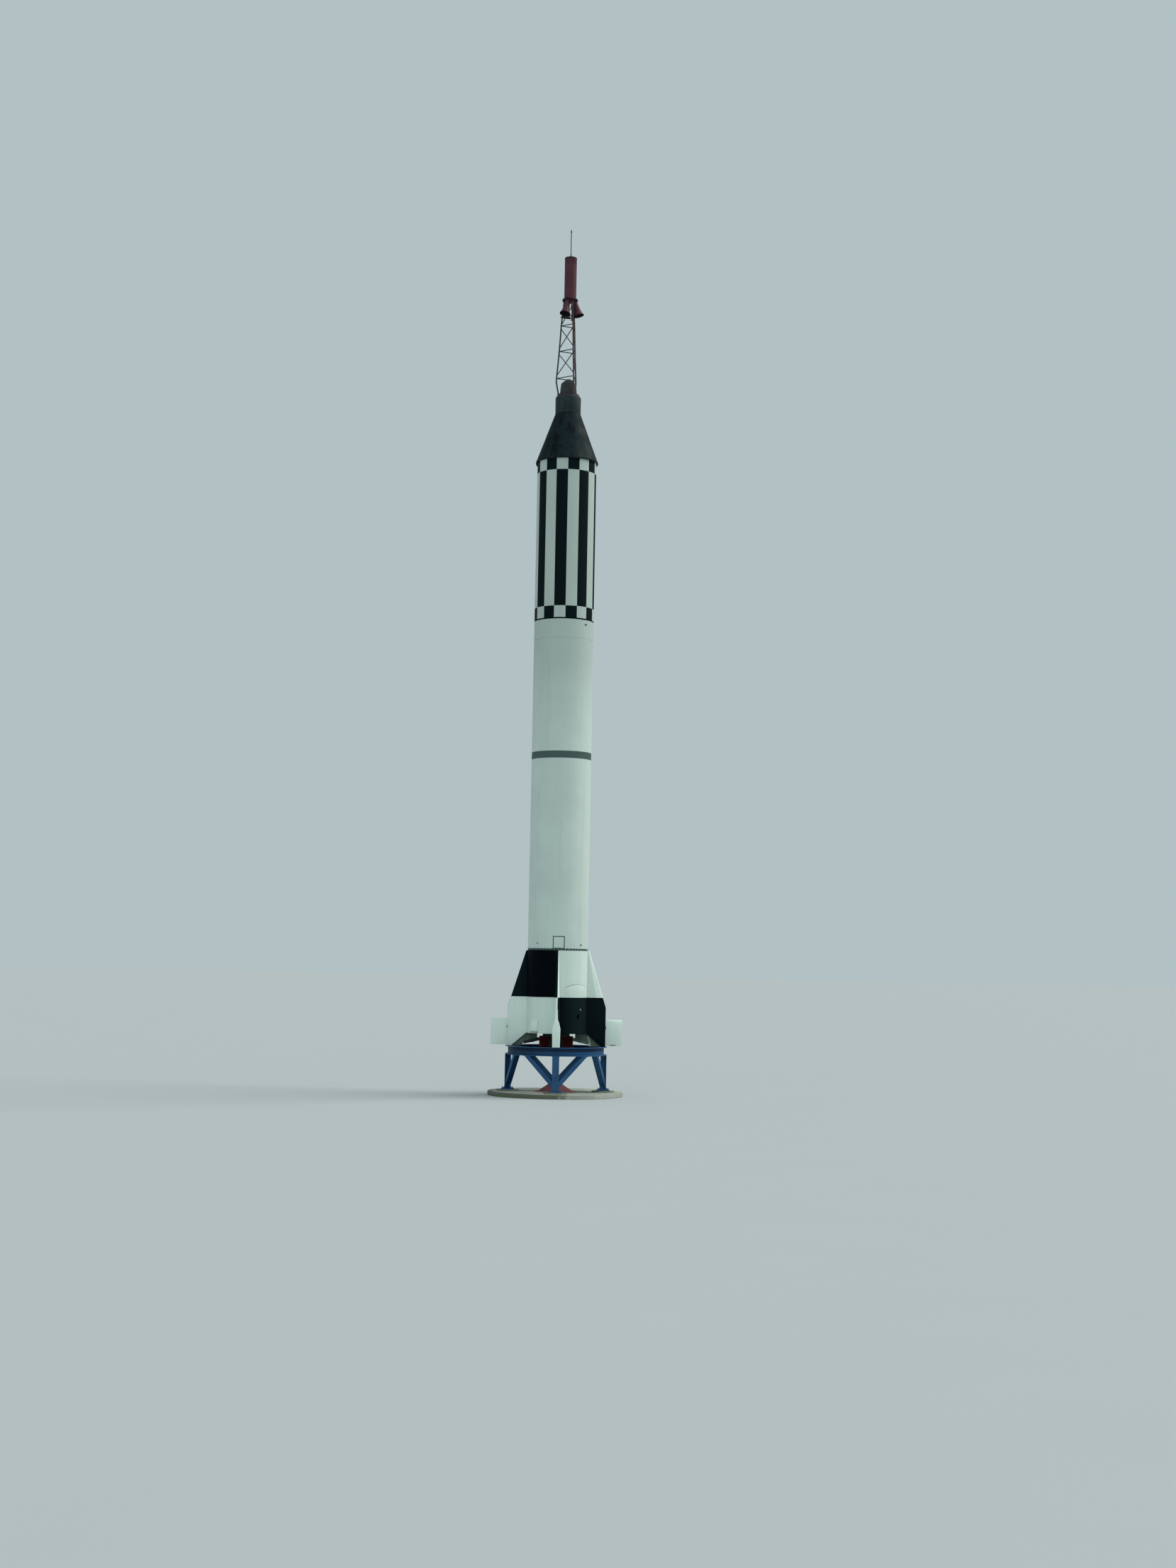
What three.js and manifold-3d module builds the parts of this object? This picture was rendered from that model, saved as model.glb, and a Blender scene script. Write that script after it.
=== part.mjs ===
// A single-stage crewed rocket on its launch stand and round concrete slab.
// Millimetres, +Z up, origin at the centre of the slab's underside.
// An azimuth is in degrees: 0 is the front (-Y), 90 the right (+X), 180 the back, -90 the left.
import * as THREE from 'three';
import { mergeVertices } from 'three/addons/utils/BufferGeometryUtils.js';
import Module from 'manifold-3d';

const wasm = await Module();
wasm.setup();

// Driving dimensions. Heights called "above the deck" are above the slab's top.
const touchGap = 0.3;
const bodySides = 64;
const engineSides = 40;
const sides = [
  { name: 'front', azimuth: 0 },
  { name: 'right', azimuth: 90 },
  { name: 'back', azimuth: 180 },
  { name: 'left', azimuth: -90 },
];

const slab = { radius: 2000, thickness: 120, chamfer: 12, padRadius: 345, padHeight: 40 };
const deck = slab.thickness;
const deflector = { rimRadius: 640, skirtRadius: 490, topRadius: 190, rimHeight: 22, height: 235 };

const ring = {
  outerRadius: 1500, innerRadius: 1320, bottom: deck + 1080, top: deck + 1330, flange: 18, web: 14,
};
const standRadius = (ring.outerRadius + ring.innerRadius) / 2;
const leg = { width: 200, depth: 176, flange: 14, web: 10, plate: 380, plateThickness: 25 };
const brace = { width: 130, depth: 176, flange: 12, web: 9, spread: 35, footHeight: 140 };

const body = { radius: 889 };
const tail = {
  bottom: deck + 1710, top: deck + 4140, wall: 12, bulkhead: 20,
};
const engine = { radius: 380, bottom: deck + 2450 };
const nozzle = {
  wall: 12, throatRadius: 200, exitRadius: 452, exit: deck + 1215, neckHeight: 60,
};
const shroud = { radius: 505, wall: 14, bottom: deck + 1180, top: deck + 1620, lip: 470 };

// The fin's outline, as distance from the rocket's axis and height.
const fin = {
  topRadius: 937, tipRadius: 1454, tipTop: deck + 2480, footRadius: 1330,
  edgeHalf: 30, wedge: 0.123, rootDepth: 60,
};
const rudder = {
  root: 1470, tip: 1932, bottom: deck + 1354, top: deck + 2125, hinge: deck + 1880,
  ridgeHalf: 118, bottomHalf: 110,
  shaftRadius: 30, shaftClearance: 0.4, shaftDepth: 90, boreDepth: 100, shaftSides: 24,
};
// The nose of a rudder's section: half thickness, and distance below its top.
const rudderNose = [
  { half: 28, drop: 7 },
  { half: 52, drop: 27 },
  { half: 70, drop: 57 },
];
const bracket = {
  half: 30, innerRadius: 560, armRadius: 945, seatRadius: 1075,
  innerDrop: 145, outerDrop: 240, seatDrop: 270,
  armThickness: 50, armInnerDrop: 175, armOuterDrop: 280,
};

// The booster's sections, bottom up. Tops are above the deck, and inset is how far the wall stands in.
const boosterSections = [
  { name: 'tail_joint_ring', top: 4200, inset: 6, colour: 'seam' },
  { name: 'tank_section_lower', top: 9810, inset: 0, colour: 'white' },
  { name: 'tank_band', top: 10020, inset: 1, colour: 'band' },
  { name: 'tank_section_upper', top: 13380, inset: 0, colour: 'white' },
  { name: 'instrument_joint_ring', top: 13400, inset: 4, colour: 'seam' },
  { name: 'instrument_section', top: 18460, inset: 0, colour: 'white' },
  { name: 'capsule_adapter', top: 18830, inset: 0, colour: 'white' },
];
const boosterTop = deck + boosterSections.at(-1).top;

const capsule = {
  lipRadius: 940, lipInner: 900, lipDrop: 32, flangeHeight: 30, coneRadius: 928,
  coneTop: deck + 20330, neckRadius: 387, neckTop: deck + 20830, bevelTop: deck + 20900,
  crownRadius: 335,
};
const guyLug = { azimuths: [-96.3, 23.7, 143.7], reach: 48, height: 90, half: 8 };
const towerRing = { radius: 325, top: deck + 20930 };
const fairing = {
  baseRadius: 265, shoulderRadius: 224, shoulder: deck + 21280, apexRadius: 60, apex: deck + 21415,
};

const tower = {
  legAzimuths: [-96.3, 23.7, 143.7], legRadius: 20, barRadius: 12.5, legSides: 8, barSides: 6,
  footRadius: 300, kinkRadius: 374, kink: deck + 21330, top: deck + 23840, topRadius: 180, braceInset: 95,
  topBayInward: 45,
};
const towerLevels = [
  { height: deck + 21450, radius: 370 },
  { height: deck + 22290, radius: 302 },
  { height: deck + 23080, radius: 256 },
  { height: tower.top, radius: tower.topRadius },
];
const bracedFaces = [
  { from: 0, to: 1 },
  { from: 1, to: 2 },
];
const collar = { radius: 236, height: 60 };
const motor = { radius: 183, seam: deck + 24980, top: deck + 25190, edge: 14 };
const escapeNozzle = {
  azimuths: [-33, 87, -153], cant: 18, startRadius: 116, rise: 60, wall: 9,
};
// The outer wall of an escape nozzle: distance along its axis from the collar, and radius.
const escapeNozzleWall = [
  { along: 0, radius: 80 },
  { along: 120, radius: 92 },
  { along: 305, radius: 138 },
  { along: 480, radius: 187 },
];
const spike = {
  baseRadius: 21, radius: 13, top: deck + 26100, headLength: 120, headRadius: 26, footHeight: 45,
};

const paint = {
  white: new THREE.MeshStandardMaterial({ color: 0xc6d6d3, roughness: 0.55, metalness: 0.0 }),
  band: new THREE.MeshStandardMaterial({ color: 0x46545a, roughness: 0.5, metalness: 0.2 }),
  seam: new THREE.MeshStandardMaterial({ color: 0x2a3436, roughness: 0.6, metalness: 0.2 }),
  capsule: new THREE.MeshStandardMaterial({ color: 0x2b3536, roughness: 0.7, metalness: 0.3 }),
  maroon: new THREE.MeshStandardMaterial({ color: 0x6d2c31, roughness: 0.6, metalness: 0.0 }),
  red: new THREE.MeshStandardMaterial({ color: 0x8c1a20, roughness: 0.5, metalness: 0.0 }),
  blue: new THREE.MeshStandardMaterial({ color: 0x2c5ca6, roughness: 0.5, metalness: 0.0 }),
  steel: new THREE.MeshStandardMaterial({ color: 0x6c7674, roughness: 0.5, metalness: 0.7 }),
  tower: new THREE.MeshStandardMaterial({ color: 0x3a4643, roughness: 0.6, metalness: 0.4 }),
  fadedRed: new THREE.MeshStandardMaterial({ color: 0x9c5a5e, roughness: 0.8, metalness: 0.0 }),
  concrete: new THREE.MeshStandardMaterial({ color: 0xb9b4a6, roughness: 0.9, metalness: 0.0 }),
};

const rocket = new THREE.Group();

function place(name, geometry, material) {
  const mesh = new THREE.Mesh(geometry, material);
  mesh.name = name;
  rocket.add(mesh);
}

function polar(azimuth, radius, height) {
  const angle = THREE.MathUtils.degToRad(azimuth);
  return new THREE.Vector3(radius * Math.sin(angle), -radius * Math.cos(angle), height);
}

// Turns a profile about the vertical axis. Points are [radius, height], anticlockwise.
function turned(points, segments) {
  const profile = points.map(([radius, height]) => new THREE.Vector2(radius, height));
  return new THREE.LatheGeometry(profile, segments).rotateX(Math.PI / 2);
}

function disc(radius, bottom, top, segments) {
  return turned([[0, bottom], [radius, bottom], [radius, top], [0, top]], segments);
}

// Local x points out from the axis, local y up and local z sideways.
function radialFrame(azimuth) {
  const out = polar(azimuth, 1, 0);
  const up = new THREE.Vector3(0, 0, 1);
  return new THREE.Matrix4().makeBasis(out, up, new THREE.Vector3().crossVectors(out, up));
}

function plateShape(points) {
  return new THREE.Shape(points.map(([x, y]) => new THREE.Vector2(x, y)));
}

// A plate in the radial plane, with its middle on that plane.
function radialPlate(points, half) {
  const geometry = new THREE.ExtrudeGeometry(plateShape(points), { depth: 2 * half, bevelEnabled: false });
  return geometry.translate(0, 0, -half);
}

function solid(geometry) {
  const bare = geometry.index ? geometry.toNonIndexed() : geometry.clone();
  bare.deleteAttribute('normal');
  bare.deleteAttribute('uv');
  const merged = mergeVertices(bare, 1e-3);
  const mesh = new wasm.Mesh({
    numProp: 3,
    vertProperties: new Float32Array(merged.attributes.position.array),
    triVerts: new Uint32Array(merged.index.array),
  });
  mesh.merge();
  return new wasm.Manifold(mesh);
}

function geometryOf(manifold) {
  const mesh = manifold.getMesh();
  const geometry = new THREE.BufferGeometry();
  geometry.setAttribute('position', new THREE.BufferAttribute(new Float32Array(mesh.vertProperties), 3));
  geometry.setIndex(new THREE.BufferAttribute(new Uint32Array(mesh.triVerts), 1));
  return geometry;
}

function joined(solids) {
  return solids.reduce((whole, next) => whole.add(next));
}

function block(sizeX, sizeY, bottom, top) {
  return new THREE.BoxGeometry(sizeX, sizeY, top - bottom).translate(0, 0, (bottom + top) / 2);
}

function bar(start, end, radius, segments) {
  const along = new THREE.Vector3().subVectors(end, start);
  const turn = new THREE.Quaternion().setFromUnitVectors(
    new THREE.Vector3(0, 1, 0),
    along.clone().normalize(),
  );
  const middle = new THREE.Vector3().addVectors(start, end).multiplyScalar(0.5);
  return new THREE.CylinderGeometry(radius, radius, along.length(), segments)
    .applyQuaternion(turn)
    .translate(middle.x, middle.y, middle.z);
}

function hShape({ width, depth, flange, web }) {
  const w = width / 2;
  const d = depth / 2;
  const inner = d - flange;
  const s = web / 2;
  return plateShape([
    [-w, -d], [w, -d], [w, -inner], [s, -inner], [s, inner], [w, inner],
    [w, d], [-w, d], [-w, inner], [-s, inner], [-s, -inner], [-w, -inner],
  ]);
}

// An H beam from start to end. Its two flanges face along the given direction and away from it.
function beam(start, end, section, facing) {
  const along = new THREE.Vector3().subVectors(end, start);
  const direction = along.clone().normalize();
  const across = new THREE.Vector3().crossVectors(facing, direction).normalize();
  const square = new THREE.Vector3().crossVectors(direction, across);
  const frame = new THREE.Matrix4().makeBasis(across, square, direction).setPosition(start);
  return new THREE.ExtrudeGeometry(hShape(section), { depth: along.length(), bevelEnabled: false })
    .applyMatrix4(frame);
}

function aboveOnly(manifold, height) {
  return manifold.subtract(solid(block(5000, 5000, height - 4000, height)));
}

function belowOnly(manifold, height) {
  return manifold.subtract(solid(block(5000, 5000, height, height + 4000)));
}

// The round slab, with a low cast pad under each foot of the stand.
function concreteSlab() {
  const { radius, thickness, chamfer, padRadius, padHeight } = slab;
  const top = solid(turned([
    [0, 0], [radius, 0], [radius, thickness - chamfer], [radius - chamfer, thickness], [0, thickness],
  ], bodySides));
  const pads = sides.map(({ azimuth }) => {
    const at = polar(azimuth, standRadius, 0);
    return solid(disc(padRadius, thickness - 10, thickness + padHeight, 24).translate(at.x, at.y, 0));
  });
  return geometryOf(joined([top, ...pads]));
}

function deflectorCone() {
  const { rimRadius, skirtRadius, topRadius, rimHeight, height } = deflector;
  return turned([
    [0, deck], [rimRadius, deck], [rimRadius, deck + 8], [skirtRadius, deck + rimHeight],
    [topRadius, deck + height], [0, deck + height],
  ], 40);
}

function standRing() {
  const { outerRadius, innerRadius, bottom, top, flange, web } = ring;
  const webOuter = standRadius + web / 2;
  const webInner = standRadius - web / 2;
  return turned([
    [innerRadius, bottom], [outerRadius, bottom], [outerRadius, bottom + flange], [webOuter, bottom + flange],
    [webOuter, top - flange], [outerRadius, top - flange], [outerRadius, top], [innerRadius, top],
    [innerRadius, top - flange], [webInner, top - flange], [webInner, bottom + flange],
    [innerRadius, bottom + flange], [innerRadius, bottom],
  ], bodySides);
}

// One upright with its foot plate, and the two braces that spread from its foot to the ring.
function standLeg(azimuth) {
  const foot = deck + slab.padHeight;
  const plateTop = foot + leg.plateThickness;
  const upright = beam(
    polar(azimuth, standRadius, plateTop - 5),
    polar(azimuth, standRadius, ring.bottom + 50),
    leg,
    polar(azimuth, 1, 0),
  );
  const plate = block(leg.plate, leg.plate, foot, plateTop)
    .rotateZ(THREE.MathUtils.degToRad(azimuth))
    .translate(...polar(azimuth, standRadius, 0).toArray());
  const pieces = [solid(upright), solid(plate)];
  for (const side of [-1, 1]) {
    const start = polar(azimuth, standRadius, foot + brace.footHeight);
    const end = polar(azimuth + side * brace.spread, standRadius, ring.bottom);
    const past = new THREE.Vector3().subVectors(end, start).multiplyScalar(1.15).add(start);
    const facing = polar(azimuth + side * brace.spread / 2, 1, 0);
    pieces.push(solid(beam(start, past, brace, facing)));
  }
  return geometryOf(belowOnly(joined(pieces), ring.bottom));
}

function tailShell() {
  const inner = body.radius - tail.wall;
  const ceiling = tail.top - tail.bulkhead;
  return turned([
    [0, ceiling], [inner, ceiling], [inner, tail.bottom],
    [body.radius, tail.bottom], [body.radius, tail.top], [0, tail.top],
  ], bodySides);
}

function engineNozzle() {
  const { wall, throatRadius, exitRadius, exit, neckHeight } = nozzle;
  const throat = engine.bottom - neckHeight;
  const bell = [0.25, 0.6].map((share) => {
    const radius = throatRadius + (exitRadius - throatRadius) * Math.sqrt(share);
    return [radius, throat + (exit - throat) * share];
  });
  const outside = [...bell].reverse();
  const inside = bell.map(([radius, height]) => [radius - wall, height]);
  return turned([
    [0, throat], [throatRadius - wall, throat], ...inside, [exitRadius - wall, exit], [exitRadius, exit],
    ...outside, [throatRadius, throat], [throatRadius, engine.bottom], [0, engine.bottom],
  ], engineSides);
}

// The red ring round the nozzle's mouth. Its top lip reaches in to the bell.
function nozzleShroud() {
  const { radius, wall, bottom, top, lip } = shroud;
  const inner = radius - wall;
  const bellGap = nozzle.exitRadius + touchGap;
  return turned([
    [bellGap, nozzle.exit], [inner, nozzle.exit], [inner, bottom], [radius, bottom], [radius, top],
    [lip, top], [lip, top - wall], [inner, top - wall], [inner, nozzle.exit + wall],
    [bellGap, nozzle.exit + wall], [bellGap, nozzle.exit],
  ], engineSides);
}

function leadingEdgeRadius(height) {
  const share = (tail.top - height) / (tail.top - fin.tipTop);
  return fin.topRadius + (fin.tipRadius - fin.topRadius) * share;
}

// The fin is a wedge: its half thickness grows with the distance behind its leading edge.
function finSolid(azimuth) {
  const rootRadius = body.radius - fin.rootDepth;
  const outline = [
    [rootRadius, tail.bottom], [body.radius, tail.bottom], [fin.footRadius, ring.top],
    [fin.tipRadius, ring.top], [fin.tipRadius, fin.tipTop], [fin.topRadius, tail.top],
    [rootRadius, tail.top],
  ];
  const geometry = radialPlate(outline, 1);
  const edgeSlope = Math.atan2(fin.tipRadius - fin.topRadius, tail.top - fin.tipTop);
  const position = geometry.attributes.position;
  for (let i = 0; i < position.count; i += 1) {
    const behind = (leadingEdgeRadius(position.getY(i)) - position.getX(i)) * Math.cos(edgeSlope);
    position.setZ(i, position.getZ(i) * (fin.edgeHalf + fin.wedge * behind));
  }
  const boreRadius = (rudder.shaftRadius + rudder.shaftClearance) / Math.cos(Math.PI / rudder.shaftSides);
  const bore = bar(
    new THREE.Vector3(fin.tipRadius - rudder.boreDepth, rudder.hinge, 0),
    new THREE.Vector3(fin.tipRadius + 10, rudder.hinge, 0),
    boreRadius,
    rudder.shaftSides,
  );
  const wall = disc(body.radius + touchGap, tail.bottom - 200, tail.top + 200, bodySides);
  const blade = solid(geometry).subtract(solid(bore));
  const placed = solid(geometryOf(blade).applyMatrix4(radialFrame(azimuth)));
  return geometryOf(placed.subtract(solid(wall)));
}

// A rudder turns on a shaft that runs out from the fin's tip.
function rudderSolid(azimuth) {
  const downOneSide = [
    ...rudderNose.map(({ half, drop }) => [half, rudder.top - drop]),
    [rudder.ridgeHalf, rudder.hinge], [rudder.bottomHalf, rudder.bottom],
  ];
  const downTheOther = downOneSide.map(([half, height]) => [-half, height]);
  const section = plateShape([[0, rudder.top], ...downTheOther, ...downOneSide.reverse()]);
  const blade = new THREE.ExtrudeGeometry(section, { depth: rudder.tip - rudder.root, bevelEnabled: false });
  const outward = new THREE.Matrix4().makeBasis(
    new THREE.Vector3(0, 0, -1),
    new THREE.Vector3(0, 1, 0),
    new THREE.Vector3(1, 0, 0),
  );
  blade.applyMatrix4(outward).translate(rudder.root, 0, 0);
  const shaft = bar(
    new THREE.Vector3(fin.tipRadius - rudder.shaftDepth, rudder.hinge, 0),
    new THREE.Vector3(rudder.root + 20, rudder.hinge, 0),
    rudder.shaftRadius,
    rudder.shaftSides,
  );
  return geometryOf(solid(blade).add(solid(shaft))).applyMatrix4(radialFrame(azimuth));
}

// The grey plate inboard of a fin's sloping edge, with the vane arm that runs in to the engine.
function finBracket(azimuth) {
  const { half, innerRadius, armRadius, seatRadius, innerDrop, outerDrop, seatDrop } = bracket;
  const top = tail.bottom - touchGap;
  const seat = ring.top + touchGap;
  const plate = radialPlate([
    [innerRadius, top - innerDrop], [armRadius, top - outerDrop], [armRadius, top - seatDrop],
    [seatRadius, seat], [fin.footRadius - 1, seat], [body.radius - 0.8, top], [innerRadius, top],
  ], half);
  const arm = bar(
    new THREE.Vector3(shroud.radius - 60, tail.bottom - bracket.armInnerDrop, 0),
    new THREE.Vector3(armRadius + 20, tail.bottom - bracket.armOuterDrop, 0),
    bracket.armThickness,
    16,
  );
  const frame = radialFrame(azimuth);
  const whole = solid(plate.applyMatrix4(frame)).add(solid(arm.applyMatrix4(frame)));
  const wall = disc(shroud.radius + touchGap, shroud.bottom - 200, tail.bottom + 200, engineSides);
  return geometryOf(whole.subtract(solid(wall)));
}

function capsuleFlange() {
  const { lipRadius, lipInner, lipDrop, flangeHeight } = capsule;
  const top = boosterTop + flangeHeight;
  const plate = solid(turned([
    [0, boosterTop], [lipInner, boosterTop], [lipRadius - 20, boosterTop - lipDrop],
    [lipRadius, boosterTop - lipDrop], [lipRadius, top - 8], [lipRadius - 8, top], [0, top],
  ], bodySides));
  const lugs = guyLug.azimuths.map((azimuth) => {
    const inner = body.radius + touchGap;
    const outline = [
      [inner, boosterTop - guyLug.height], [inner + guyLug.reach * 0.6, boosterTop - guyLug.height],
      [inner + guyLug.reach, boosterTop - guyLug.height * 0.6], [inner + guyLug.reach, boosterTop + 5],
      [inner, boosterTop + 5],
    ];
    return solid(radialPlate(outline, guyLug.half).applyMatrix4(radialFrame(azimuth)));
  });
  return geometryOf(joined([plate, ...lugs]));
}

function capsuleCone() {
  const bottom = boosterTop + capsule.flangeHeight;
  return turned([
    [0, bottom], [capsule.coneRadius, bottom], [capsule.neckRadius, capsule.coneTop], [0, capsule.coneTop],
  ], bodySides);
}

function capsuleNeck() {
  const { neckRadius, coneTop, neckTop, bevelTop, crownRadius } = capsule;
  return turned([
    [0, coneTop], [neckRadius, coneTop], [neckRadius, neckTop], [crownRadius, bevelTop], [0, bevelTop],
  ], bodySides);
}

function antennaFairing() {
  const { baseRadius, shoulderRadius, shoulder, apexRadius, apex } = fairing;
  return turned([
    [0, towerRing.top], [baseRadius, towerRing.top], [shoulderRadius, shoulder],
    [apexRadius, apex], [0, apex],
  ], 48);
}

function legPoint(index, height) {
  const above = towerLevels.findIndex((level) => level.height >= height);
  const upper = towerLevels[Math.max(above, 1)];
  const lower = towerLevels[Math.max(above, 1) - 1];
  const share = (height - lower.height) / (upper.height - lower.height);
  const radius = lower.radius + (upper.radius - lower.radius) * share;
  return polar(tower.legAzimuths[index], radius, height);
}

// The welded tower of three tubes: level triangles, and crossed braces on two of its three faces.
function escapeTower() {
  const pieces = [];
  const tube = (start, end, radius, tubeSides) => pieces.push(solid(bar(start, end, radius, tubeSides)));
  tower.legAzimuths.forEach((azimuth, index) => {
    const foot = polar(azimuth, tower.footRadius, towerRing.top - 30);
    const kink = polar(azimuth, tower.kinkRadius, tower.kink);
    const joints = [foot, kink, ...towerLevels.map(({ height }) => legPoint(index, height))];
    for (let i = 1; i < joints.length; i += 1) {
      tube(joints[i - 1], joints[i], tower.legRadius, tower.legSides);
      const knuckle = new THREE.SphereGeometry(tower.legRadius * 1.08, tower.legSides, 4);
      pieces.push(solid(knuckle.rotateX(Math.PI / 2).translate(...joints[i].toArray())));
    }
  });
  for (const { height } of towerLevels.slice(0, -1)) {
    for (const [from, to] of [[0, 1], [1, 2], [2, 0]]) {
      tube(legPoint(from, height), legPoint(to, height), tower.barRadius, tower.barSides);
    }
  }
  for (let bay = 1; bay < towerLevels.length; bay += 1) {
    const low = towerLevels[bay - 1].height + tower.braceInset;
    const high = towerLevels[bay].height - tower.braceInset;
    const isTopBay = bay === towerLevels.length - 1;
    for (const { from, to } of bracedFaces) {
      // In the top bay the braces stand on short stubs inside the legs, clear of the nozzles.
      const faceMiddle = (tower.legAzimuths[from] + tower.legAzimuths[to]) / 2;
      const inward = polar(faceMiddle, isTopBay ? -tower.topBayInward : 0, 0);
      const end = (index, height) => legPoint(index, height).add(inward);
      tube(end(from, low), end(to, high), tower.barRadius, tower.barSides);
      tube(end(to, low), end(from, high), tower.barRadius, tower.barSides);
      if (isTopBay) {
        const further = inward.clone().multiplyScalar(1.15);
        for (const [index, height] of [[from, low], [to, high], [to, low], [from, high]]) {
          const root = legPoint(index, height);
          tube(root, root.clone().add(further), tower.barRadius, tower.barSides);
        }
      }
    }
  }
  return geometryOf(aboveOnly(belowOnly(joined(pieces), tower.top), towerRing.top));
}

function escapeNozzleSolid(azimuth) {
  const { cant, startRadius, rise, wall } = escapeNozzle;
  const outside = escapeNozzleWall.map(({ along, radius }) => [radius, -along]);
  const inside = [...escapeNozzleWall].slice(1).map(({ along, radius }) => [radius - wall, -along]);
  const throat = escapeNozzleWall[0].radius;
  const bell = turned([
    [0, -70], [throat - wall - 10, -70], ...inside, ...[...outside].reverse(), [throat, rise], [0, rise],
  ], 24);
  const tilt = THREE.MathUtils.degToRad(cant);
  const frame = radialFrame(azimuth);
  const upright = new THREE.Matrix4().makeRotationX(-Math.PI / 2);
  const lean = new THREE.Matrix4().makeRotationZ(tilt);
  const start = new THREE.Matrix4().makeTranslation(startRadius, tower.top, 0);
  bell.applyMatrix4(upright).applyMatrix4(lean).applyMatrix4(start).applyMatrix4(frame);
  return geometryOf(belowOnly(solid(bell), tower.top));
}

function aerodynamicSpike() {
  const { baseRadius, radius, top, headLength, headRadius, footHeight } = spike;
  const foot = motor.top;
  const neck = top - headLength;
  return turned([
    [0, foot], [baseRadius * 2, foot], [baseRadius, foot + footHeight], [radius, neck],
    [headRadius, neck + 18], [0, top],
  ], 16);
}

place('concrete_slab', concreteSlab(), paint.concrete);
place('deflector_cone', deflectorCone(), paint.fadedRed);
place('stand_ring', standRing(), paint.blue);
for (const { name, azimuth } of sides) {
  place(`stand_leg_${name}`, standLeg(azimuth), paint.blue);
}

place('tail_shell', tailShell(), paint.white);
place('engine_block', disc(engine.radius, engine.bottom, tail.top - tail.bulkhead, 32), paint.steel);
place('engine_nozzle', engineNozzle(), paint.steel);
place('nozzle_shroud', nozzleShroud(), paint.red);
for (const { name, azimuth } of sides) {
  place(`fin_${name}`, finSolid(azimuth), paint.white);
  place(`rudder_${name}`, rudderSolid(azimuth), paint.white);
  place(`fin_bracket_${name}`, finBracket(azimuth), paint.steel);
}

let sectionBottom = tail.top;
for (const { name, top, inset, colour } of boosterSections) {
  place(name, disc(body.radius - inset, sectionBottom, deck + top, bodySides), paint[colour]);
  sectionBottom = deck + top;
}

place('capsule_flange', capsuleFlange(), paint.capsule);
place('capsule_cone', capsuleCone(), paint.capsule);
place('capsule_neck', capsuleNeck(), paint.capsule);
place('tower_base_ring', disc(towerRing.radius, capsule.bevelTop, towerRing.top, 48), paint.maroon);
place('antenna_fairing', antennaFairing(), paint.capsule);
place('escape_tower', escapeTower(), paint.tower);
for (const [index, azimuth] of escapeNozzle.azimuths.entries()) {
  place(`escape_nozzle_${index + 1}`, escapeNozzleSolid(azimuth), paint.maroon);
}
place('escape_collar', disc(collar.radius, tower.top, tower.top + collar.height, 48), paint.maroon);
place('escape_motor', disc(motor.radius, tower.top + collar.height, motor.seam, 48), paint.maroon);
place('escape_motor_cap', turned([
  [0, motor.seam], [motor.radius, motor.seam], [motor.radius, motor.top - motor.edge],
  [motor.radius - motor.edge, motor.top], [0, motor.top],
], 48), paint.maroon);
place('aerodynamic_spike', aerodynamicSpike(), paint.tower);

export default rocket;
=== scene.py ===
import math

import bmesh
import bpy
from mathutils import Matrix, Vector


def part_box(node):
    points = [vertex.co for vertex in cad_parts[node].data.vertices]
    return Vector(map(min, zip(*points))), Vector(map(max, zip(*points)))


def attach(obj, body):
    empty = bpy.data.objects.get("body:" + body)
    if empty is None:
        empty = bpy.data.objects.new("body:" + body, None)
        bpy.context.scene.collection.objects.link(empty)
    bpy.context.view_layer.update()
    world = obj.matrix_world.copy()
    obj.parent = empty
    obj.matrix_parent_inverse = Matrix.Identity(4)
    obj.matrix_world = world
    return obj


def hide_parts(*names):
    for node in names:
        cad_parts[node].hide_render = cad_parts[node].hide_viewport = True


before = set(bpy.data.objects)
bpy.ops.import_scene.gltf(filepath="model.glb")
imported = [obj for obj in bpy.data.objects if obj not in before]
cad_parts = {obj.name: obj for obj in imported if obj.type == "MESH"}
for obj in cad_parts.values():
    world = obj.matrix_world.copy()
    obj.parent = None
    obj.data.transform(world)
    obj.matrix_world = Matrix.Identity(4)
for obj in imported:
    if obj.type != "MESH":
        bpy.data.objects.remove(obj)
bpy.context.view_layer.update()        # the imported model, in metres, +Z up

# Azimuths are in degrees: 0 is the front (-Y), 90 the right (+X), 180 the back, -90 the left.
quarters = {"front": 0, "right": 90, "back": 180, "left": -90}
towerAzimuths = (-96.3, 23.7, 143.7)
up = Vector((0, 0, 1))


def roundBox(node):  # the foot, the top and the radius of a round node
    low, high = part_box(node)
    return low.z, high.z, high.x


deckTop = roundBox("deflector_cone")[0]
bodyRadius = roundBox("tank_section_lower")[2]
ringBottom, ringTop, ringRadius = roundBox("stand_ring")
tailBottom, tailTop, _ = roundBox("tail_shell")
standRadius = 1.41


def above(height):  # a height above the slab's top, in the frame
    return deckTop + height


def polar(azimuth, radius, height):
    angle = math.radians(azimuth)
    return Vector((radius * math.sin(angle), -radius * math.cos(angle), height))


def azimuthOf(point):
    return math.degrees(math.atan2(point.x, -point.y))


def turnedTo(x, y, z):  # a frame whose local axes are these three directions
    return Matrix((x, y, z)).transposed().to_4x4()


def outwardFrame(azimuth, radius=0.0, height=0.0):  # local x points out, y up and z sideways
    out = polar(azimuth, 1, 0)
    return Matrix.Translation(polar(azimuth, radius, height)) @ turnedTo(out, up, out.cross(up))


def uprightFrame(azimuth, radius=0.0, height=0.0):  # local x points out, y sideways and z up
    out = polar(azimuth, 1, 0)
    return Matrix.Translation(polar(azimuth, radius, height)) @ turnedTo(out, up.cross(out), up)


# Mesh helpers

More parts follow.
